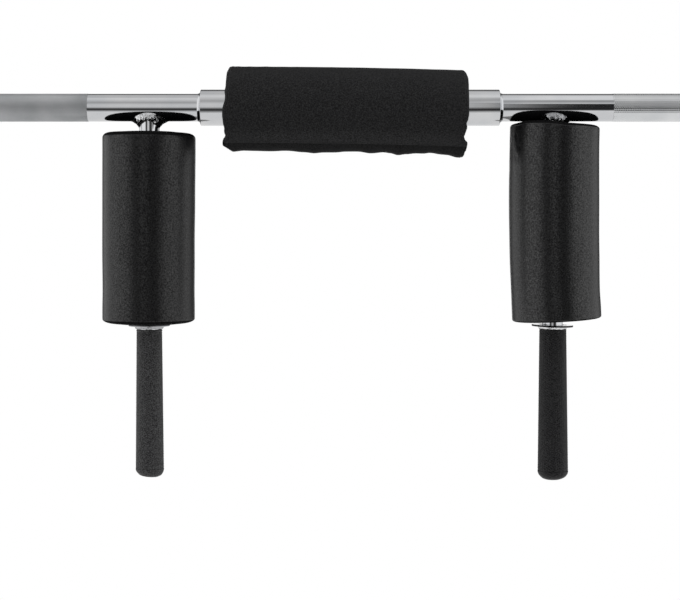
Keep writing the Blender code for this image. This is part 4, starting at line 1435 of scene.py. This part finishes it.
loading = {
    "tubeR": 25.0 * mm, "tubeInnerR": 19.0 * mm, "tubeBevel": 1.5 * mm,
    "collarR": 37.5 * mm, "collarInnerR": 24.9 * mm, "collarBevel": 1.6 * mm,
    "thrustR": 23.0 * mm, "thrustInnerR": 12.9 * mm,
    "capPlugR": 18.7 * mm, "capR": 24.2 * mm, "capDish": 0.7 * mm, "capRim": 2.6 * mm,
    "capPlugBevel": 1 * mm, "capSlope": 1.2 * mm, "capGap": 0.3 * mm,
    "tubeEdge": 0.5 * mm, "collarEdge": 0.9 * mm, "thrustEdge": 0.4 * mm, "capEdge": 0.6 * mm,
}


def makeLoadingEnd(name, side):
    body = name + "_loading_sleeve"
    size = loading

    def span(node):  # nearest and farthest distance from the middle of the bar
        low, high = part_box(name + node)
        return (low.x, high.x) if side > 0 else (-high.x, -low.x)

    def make(piece, profile, material, slot, node, ease, owner=body, ring=True):
        rounded = [(side * x, r) for x, r in eased(profile, ease, ring=ring)]
        shape = turned(rounded, ring=ring)
        place(addPiece(name + piece, *shape, material), owner, slot, name + node)

    near, far = span("_sleeve_tube")
    tube = [(near, size["tubeInnerR"]), (near, size["tubeR"]), (far - size["tubeBevel"], size["tubeR"]),
            (far, size["tubeR"] - size["tubeBevel"]), (far, size["tubeInnerR"])]
    make("_plate_sleeve", tube, barChrome, "chrome", "_sleeve_tube", size["tubeEdge"])
    near, far = span("_collar")
    bevel = size["collarBevel"]
    collar = [(near, size["collarInnerR"]), (near, size["collarR"] - bevel), (near + bevel, size["collarR"]),
              (far - bevel, size["collarR"]), (far, size["collarR"] - bevel), (far, size["collarInnerR"])]
    make("_plate_collar", collar, barChrome, "chrome", "_collar", size["collarEdge"])
    near, far = span("_thrust_washer")
    washer = [(near, size["thrustInnerR"]), (near, size["thrustR"]), (far, size["thrustR"]),
              (far, size["thrustInnerR"])]
    make("_thrust_ring", washer, bronze, "bronze", "_thrust_washer", size["thrustEdge"], "bar")
    near, far = span("_end_cap")
    face, bevel = span("_sleeve_tube")[1] + size["capGap"], size["capPlugBevel"]
    cap = [(near, 0.0), (near, size["capPlugR"] - bevel), (near + bevel, size["capPlugR"]), (face, size["capPlugR"]),
           (face, size["capR"]), (far, size["capR"]), (far, size["capR"] - size["capRim"]),
           (far - size["capDish"], size["capR"] - size["capRim"] - size["capSlope"]), (far - size["capDish"], 0.0)]
    make("_sleeve_plug", cap, capPlastic, "plastic", "_end_cap", size["capEdge"], ring=False)
    for part, material in (("inner_bushing", bronze), ("outer_bushing", bronze), ("retaining_washer", springSteel),
                           ("snap_ring", springSteel)):
        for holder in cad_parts[name + "_" + part].material_slots:
            holder.material = material


for name, side in sides.items():
    makeLoadingEnd(name, side)
print("loading ends: done")

scene = bpy.context.scene
scene.view_settings.view_transform = "Standard"
